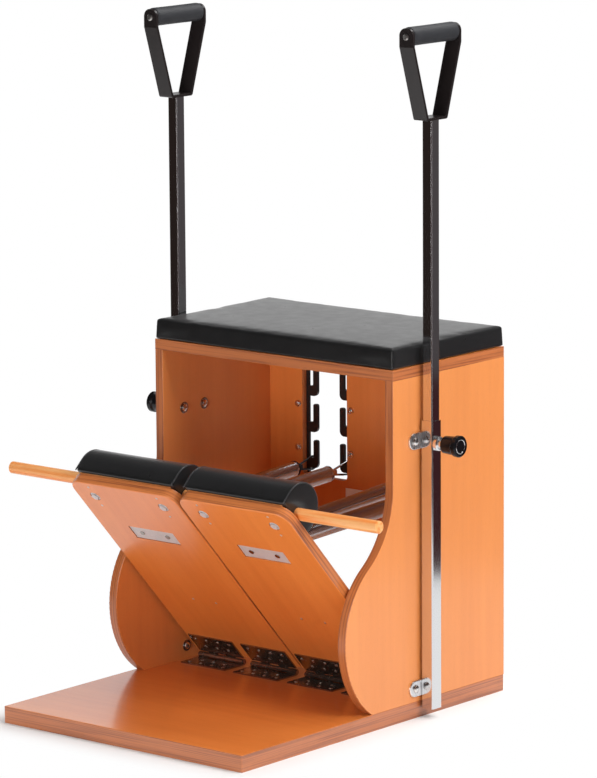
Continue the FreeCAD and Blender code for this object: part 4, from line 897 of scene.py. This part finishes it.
class CHAIR_OT_dome_bolts(Operator):
    """Round the heads of the bolts and set washers under the panel nuts"""
    bl_idname = "chair.dome_bolts"
    bl_label = "Dome bolts"

    def execute(self, context):
        sizes = context.scene.chair_sizes
        radius, height = sizes.bolt_radius, sizes.bolt_height
        bright = metal("bright dome")
        low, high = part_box("hook_plate_bolts")
        outer = high.x - radius
        rows = [sign * across for across in (outer, 2 * PEDAL_CENTRE - outer) for sign in (-1, 1)]

        def plate_domes(shape):
            for across in rows:
                for level in (low.z + radius, high.z - radius):
                    for depth, ahead in ((low.y + height, -1), (high.y - height, 1)):
                        dome(shape, facing(Vector((across, depth, level)), (0, ahead, 0)), radius, height)
        self.keep("hook_plate_domes", plate_domes, bright)
        for word, side in SIDES.items():
            least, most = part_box(word + "_sleeve_brackets")
            edge = (most.z - least.z) / 2 - BRACKET_HALF_HEIGHT
            middle = (least + most) / 2
            spots = [(middle.y + shift, middle.z + level)
                     for shift in (-BRACKET_BOLT_SPREAD, BRACKET_BOLT_SPREAD) for level in (-edge, edge)]
            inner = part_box(word + "_side_panel")[0 if side > 0 else 1].x
            outer = (most if side > 0 else least).x

            def panel_domes(shape):
                for across, level in spots:
                    for depth, ahead in ((inner, -side), (outer, side)):
                        dome(shape, facing(Vector((depth, across, level)), (ahead, 0, 0)), radius, height)

            def washers(shape):
                for across, level in spots:
                    stand = facing(Vector((inner, across, level)), (-side, 0, 0))
                    lathe(shape, WASHER, stand, TRIM_SEGMENTS, closed=True)
            self.keep(word + "_panel_domes", panel_domes, bright)
            self.keep(word + "_nut_washers", washers, metal("dark hinge steel"))
        return {"FINISHED"}

    @staticmethod
    def keep(name, make, material):
        """One group of fasteners that stays with the frame."""
        group = piece(name, make, material)
        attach(group, "frame")


class CHAIR_OT_small_fittings(Operator):
    """Add the pedal screws, the knob rings and the blank label"""
    bl_idname = "chair.small_fittings"
    bl_label = "Small fittings"

    def execute(self, context):
        sizes = context.scene.chair_sizes
        under = sizes.board_low
        reach = sizes.pad_reach

        def wood_screws(shape):
            def screw(across, along, turn):
                place = facing(Vector((across, along, under + WOOD_SCREW_SINK)), (0, 0, -1), turn)
                screw_head(shape, place, WOOD_SCREW_RADIUS, WOOD_SCREW_HEIGHT)
            for sign in (-1, 1):
                for shift in (-PAD_SCREW_SHIFT, PAD_SCREW_SHIFT):
                    screw(sign * PAD_SCREW_ACROSS, -reach + shift, shift * WOOD_SCREW_TURN)
                screw(sign * LOW_SCREW_ACROSS, -LOW_SCREW_REACH, sign)

        zinc = metal("bright zinc")
        for word, side in SIDES.items():
            screws = piece(word + "_pedal_screws", wood_screws, zinc)
            screws.matrix_world = pedal_place(side)
            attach(screws, word + "_pedal")
            low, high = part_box(word + "_clamp_knob")
            middle = (low + high) / 2
            face = high.x if side > 0 else low.x
            centre = Vector((face - side * KNOB_RING_SINK, middle.y, middle.z))

            def ring(shape):
                turns = turn_angles(TRIM_SEGMENTS)
                path = [centre + Vector((0, math.cos(a), math.sin(a))) * KNOB_RING_RADIUS for a in turns]
                tube(shape, path, KNOB_RING_WIRE, closed=True)
            trim = piece(word + "_knob_ring", ring, metal("chrome"))
            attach(trim, word + "_clamp")
        low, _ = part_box("back_panel")
        paper = painted("blank label", colour("label"), roughness=0.5, orange_peel=0.03)

        def plate(shape):
            loops = []
            for depth, inset in LABEL_RINGS:
                left, right = LABEL_ACROSS[0] + inset, LABEL_ACROSS[1] - inset
                foot, top = LABEL_HEIGHT[0] + inset, LABEL_HEIGHT[1] - inset
                corners = ((left, foot), (right, foot), (right, top), (left, top))
                loops.append([Vector((x, low.y - depth, z)) for x, z in corners])
            rings(shape, loops)
        label = piece("blank_label", plate, paper, smooth=False)
        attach(label, "frame")
        return {"FINISHED"}


class CHAIR_OT_stage(Operator):
    """Set up the floor, the soft studio light and the camera"""
    bl_idname = "chair.stage"
    bl_label = "Stage"

    def execute(self, context):
        scene = context.scene
        scene.view_settings.view_transform = "Standard"
        self.world(scene)
        self.floor()
        self.lights(scene)
        self.flags()
        self.camera(scene)
        return {"FINISHED"}

    @staticmethod
    def world(scene):
        """A soft fill light, and plain white where the background shows."""
        scene.world = scene.world or bpy.data.worlds.new("studio")
        nodes = Nodes(scene.world)
        soft = nodes.add("ShaderNodeBackground", {0: FILL_TINT, 1: FILL_STRENGTH})
        white = nodes.add("ShaderNodeBackground", {0: WHITE, 1: 1.0})
        nodes.add("ShaderNodeOutputWorld", {0: nodes.shaders(nodes.shows_background(), soft, white)})

    @staticmethod
    def card(name, corners, material):
        """A flat piece of the stage with four corners."""
        mesh = bpy.data.meshes.new(name)
        mesh.from_pydata([tuple(corner) for corner in corners], [], [(0, 1, 2, 3)])
        return new_object(name, mesh, material, smooth=False)

    @staticmethod
    def square(half, level):
        """Corners of a level square about the origin."""
        return [(half * x, half * y, level) for x, y in ((-1, -1), (1, -1), (1, 1), (-1, 1))]

    def floor(self):
        """White paper that takes the shadow near the base and fades to plain white."""
        paper = bpy.data.materials.new("white paper")
        nodes = Nodes(paper)
        _, base_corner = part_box("base_board")
        away = nodes.vectors("ABSOLUTE", nodes.add("ShaderNodeTexCoord").outputs["Object"])
        away = nodes.vectors("SUBTRACT", away, (base_corner.x, base_corner.y, 0))
        away = nodes.vectors("MAXIMUM", away)
        reach = nodes.add("ShaderNodeVectorMath", {0: away}, operation="LENGTH").outputs["Value"]
        levels = {"From Min": 0.0, "From Max": SHADOW_REACH, "To Min": SHADOW_GLOW, "To Max": 1.0}
        fade = nodes.add("ShaderNodeMapRange", {"Value": reach, **levels}, interpolation_type="SMOOTHSTEP")
        share = nodes.maths("MULTIPLY", nodes.shows_background(), fade.outputs[0])
        matt = nodes.add("ShaderNodeBsdfDiffuse", {0: FLOOR_TONE})
        glow = nodes.add("ShaderNodeEmission", {1: 1.0})
        nodes.add("ShaderNodeOutputMaterial", {0: nodes.shaders(share, matt, glow)})
        floor = self.card("floor", self.square(FLOOR_HALF, 0), paper)

    @staticmethod
    def lights(scene):
        """Square softboxes aimed at the chair."""
        for name, place, size, power, mirrored in SOFTBOXES:
            lamp = bpy.data.lights.new(name, "AREA")
            lamp.shape = "SQUARE"
            lamp.size = size
            lamp.energy = power
            obj = bpy.data.objects.new(name, lamp)
            obj.location = place
            aim = LIGHT_AIM - Vector(place)
            obj.rotation_euler = aim.to_track_quat("-Z", "Y").to_euler()
            obj.visible_glossy = mirrored
            scene.collection.objects.link(obj)

    def flags(self):
        """Dark cards round, behind and above the chair."""
        for name, bearing, away, low, high, wide, tone in FLAGS:
            out = Vector((bearing[0], bearing[1], 0))
            along = Vector((-out.y, out.x, 0)) * wide / 2
            foot = out * away + Vector((0, 0, low))
            top = out * away + Vector((0, 0, high))
            self.flag(name, [foot - along, foot + along, top + along, top - along], tone)
        self.flag("behind flag", BEHIND_FLAG, BEHIND_TONE)
        self.flag("ceiling flag", self.square(CEILING_HALF, CEILING_HEIGHT), CEILING_TONE)

    def flag(self, name, corners, tone):
        """A dark card that shows in reflections only."""
        material = bpy.data.materials.new(name)
        nodes = Nodes(material)
        glow = nodes.add("ShaderNodeEmission", {0: tone})
        nodes.add("ShaderNodeOutputMaterial", {0: glow.outputs[0]})
        card = self.card(name, corners, material)
        for ray in ("camera", "diffuse", "shadow", "transmission"):
            setattr(card, "visible_" + ray, False)

    @staticmethod
    def camera(scene):
        """The camera that was fitted to the photograph."""
        azimuth, height, roll = (math.radians(a) for a in CAMERA_ANGLES)
        level = math.cos(height)
        back = Vector((math.sin(azimuth) * level, -math.cos(azimuth) * level, math.sin(height)))
        right = Vector((math.cos(azimuth), math.sin(azimuth), 0))
        up = back.cross(right)
        tilted_right = right * math.cos(roll) + up * math.sin(roll)
        tilted_up = up * math.cos(roll) - right * math.sin(roll)
        data = bpy.data.cameras.new("photo camera")
        data.sensor_width = CAMERA_SENSOR
        data.lens = CAMERA_LENS
        data.clip_end = CAMERA_CLIP_END
        camera = bpy.data.objects.new("photo camera", data)
        place = Matrix((tilted_right, tilted_up, back)).transposed().to_4x4()
        place.translation = Vector(CAMERA_PLACE)
        camera.matrix_world = place
        scene.collection.objects.link(camera)
        scene.camera = camera


STEPS = (
    CHAIR_OT_boards, CHAIR_OT_metalwork, CHAIR_OT_seat_cushion, CHAIR_OT_pedal_pads, CHAIR_OT_springs,
    CHAIR_OT_hand_grips, CHAIR_OT_hinge_screws, CHAIR_OT_dome_bolts, CHAIR_OT_small_fittings, CHAIR_OT_stage)


class CHAIR_PT_sidebar(Panel):
    """Lists the chair's steps in the 3D view's sidebar"""
    bl_idname = "CHAIR_PT_sidebar"
    bl_label = "Pilates chair"
    bl_space_type = "VIEW_3D"
    bl_region_type = "UI"
    bl_category = "Chair"

    def draw(self, context):
        for step in STEPS:
            self.layout.operator(step.bl_idname)
        for settings in (context.scene.chair_sizes, context.scene.chair_colours):
            for name in settings.__annotations__:
                self.layout.prop(settings, name)


CLASSES = (ChairSizes, ChairColours) + STEPS + (CHAIR_PT_sidebar,)


def register():
    for cls in CLASSES:
        bpy.utils.register_class(cls)
    bpy.types.Scene.chair_sizes = PointerProperty(type=ChairSizes)
    bpy.types.Scene.chair_colours = PointerProperty(type=ChairColours)


def unregister():
    del bpy.types.Scene.chair_colours
    del bpy.types.Scene.chair_sizes
    for cls in reversed(CLASSES):
        bpy.utils.unregister_class(cls)


def main():
    register()
    bpy.ops.chair.boards()
    bpy.ops.chair.metalwork()
    bpy.ops.chair.seat_cushion()
    bpy.ops.chair.pedal_pads()
    bpy.ops.chair.springs()
    bpy.ops.chair.hand_grips()
    bpy.ops.chair.hinge_screws()
    bpy.ops.chair.dome_bolts()
    bpy.ops.chair.small_fittings()
    bpy.ops.chair.stage()


if __name__ == "__main__":
    main()
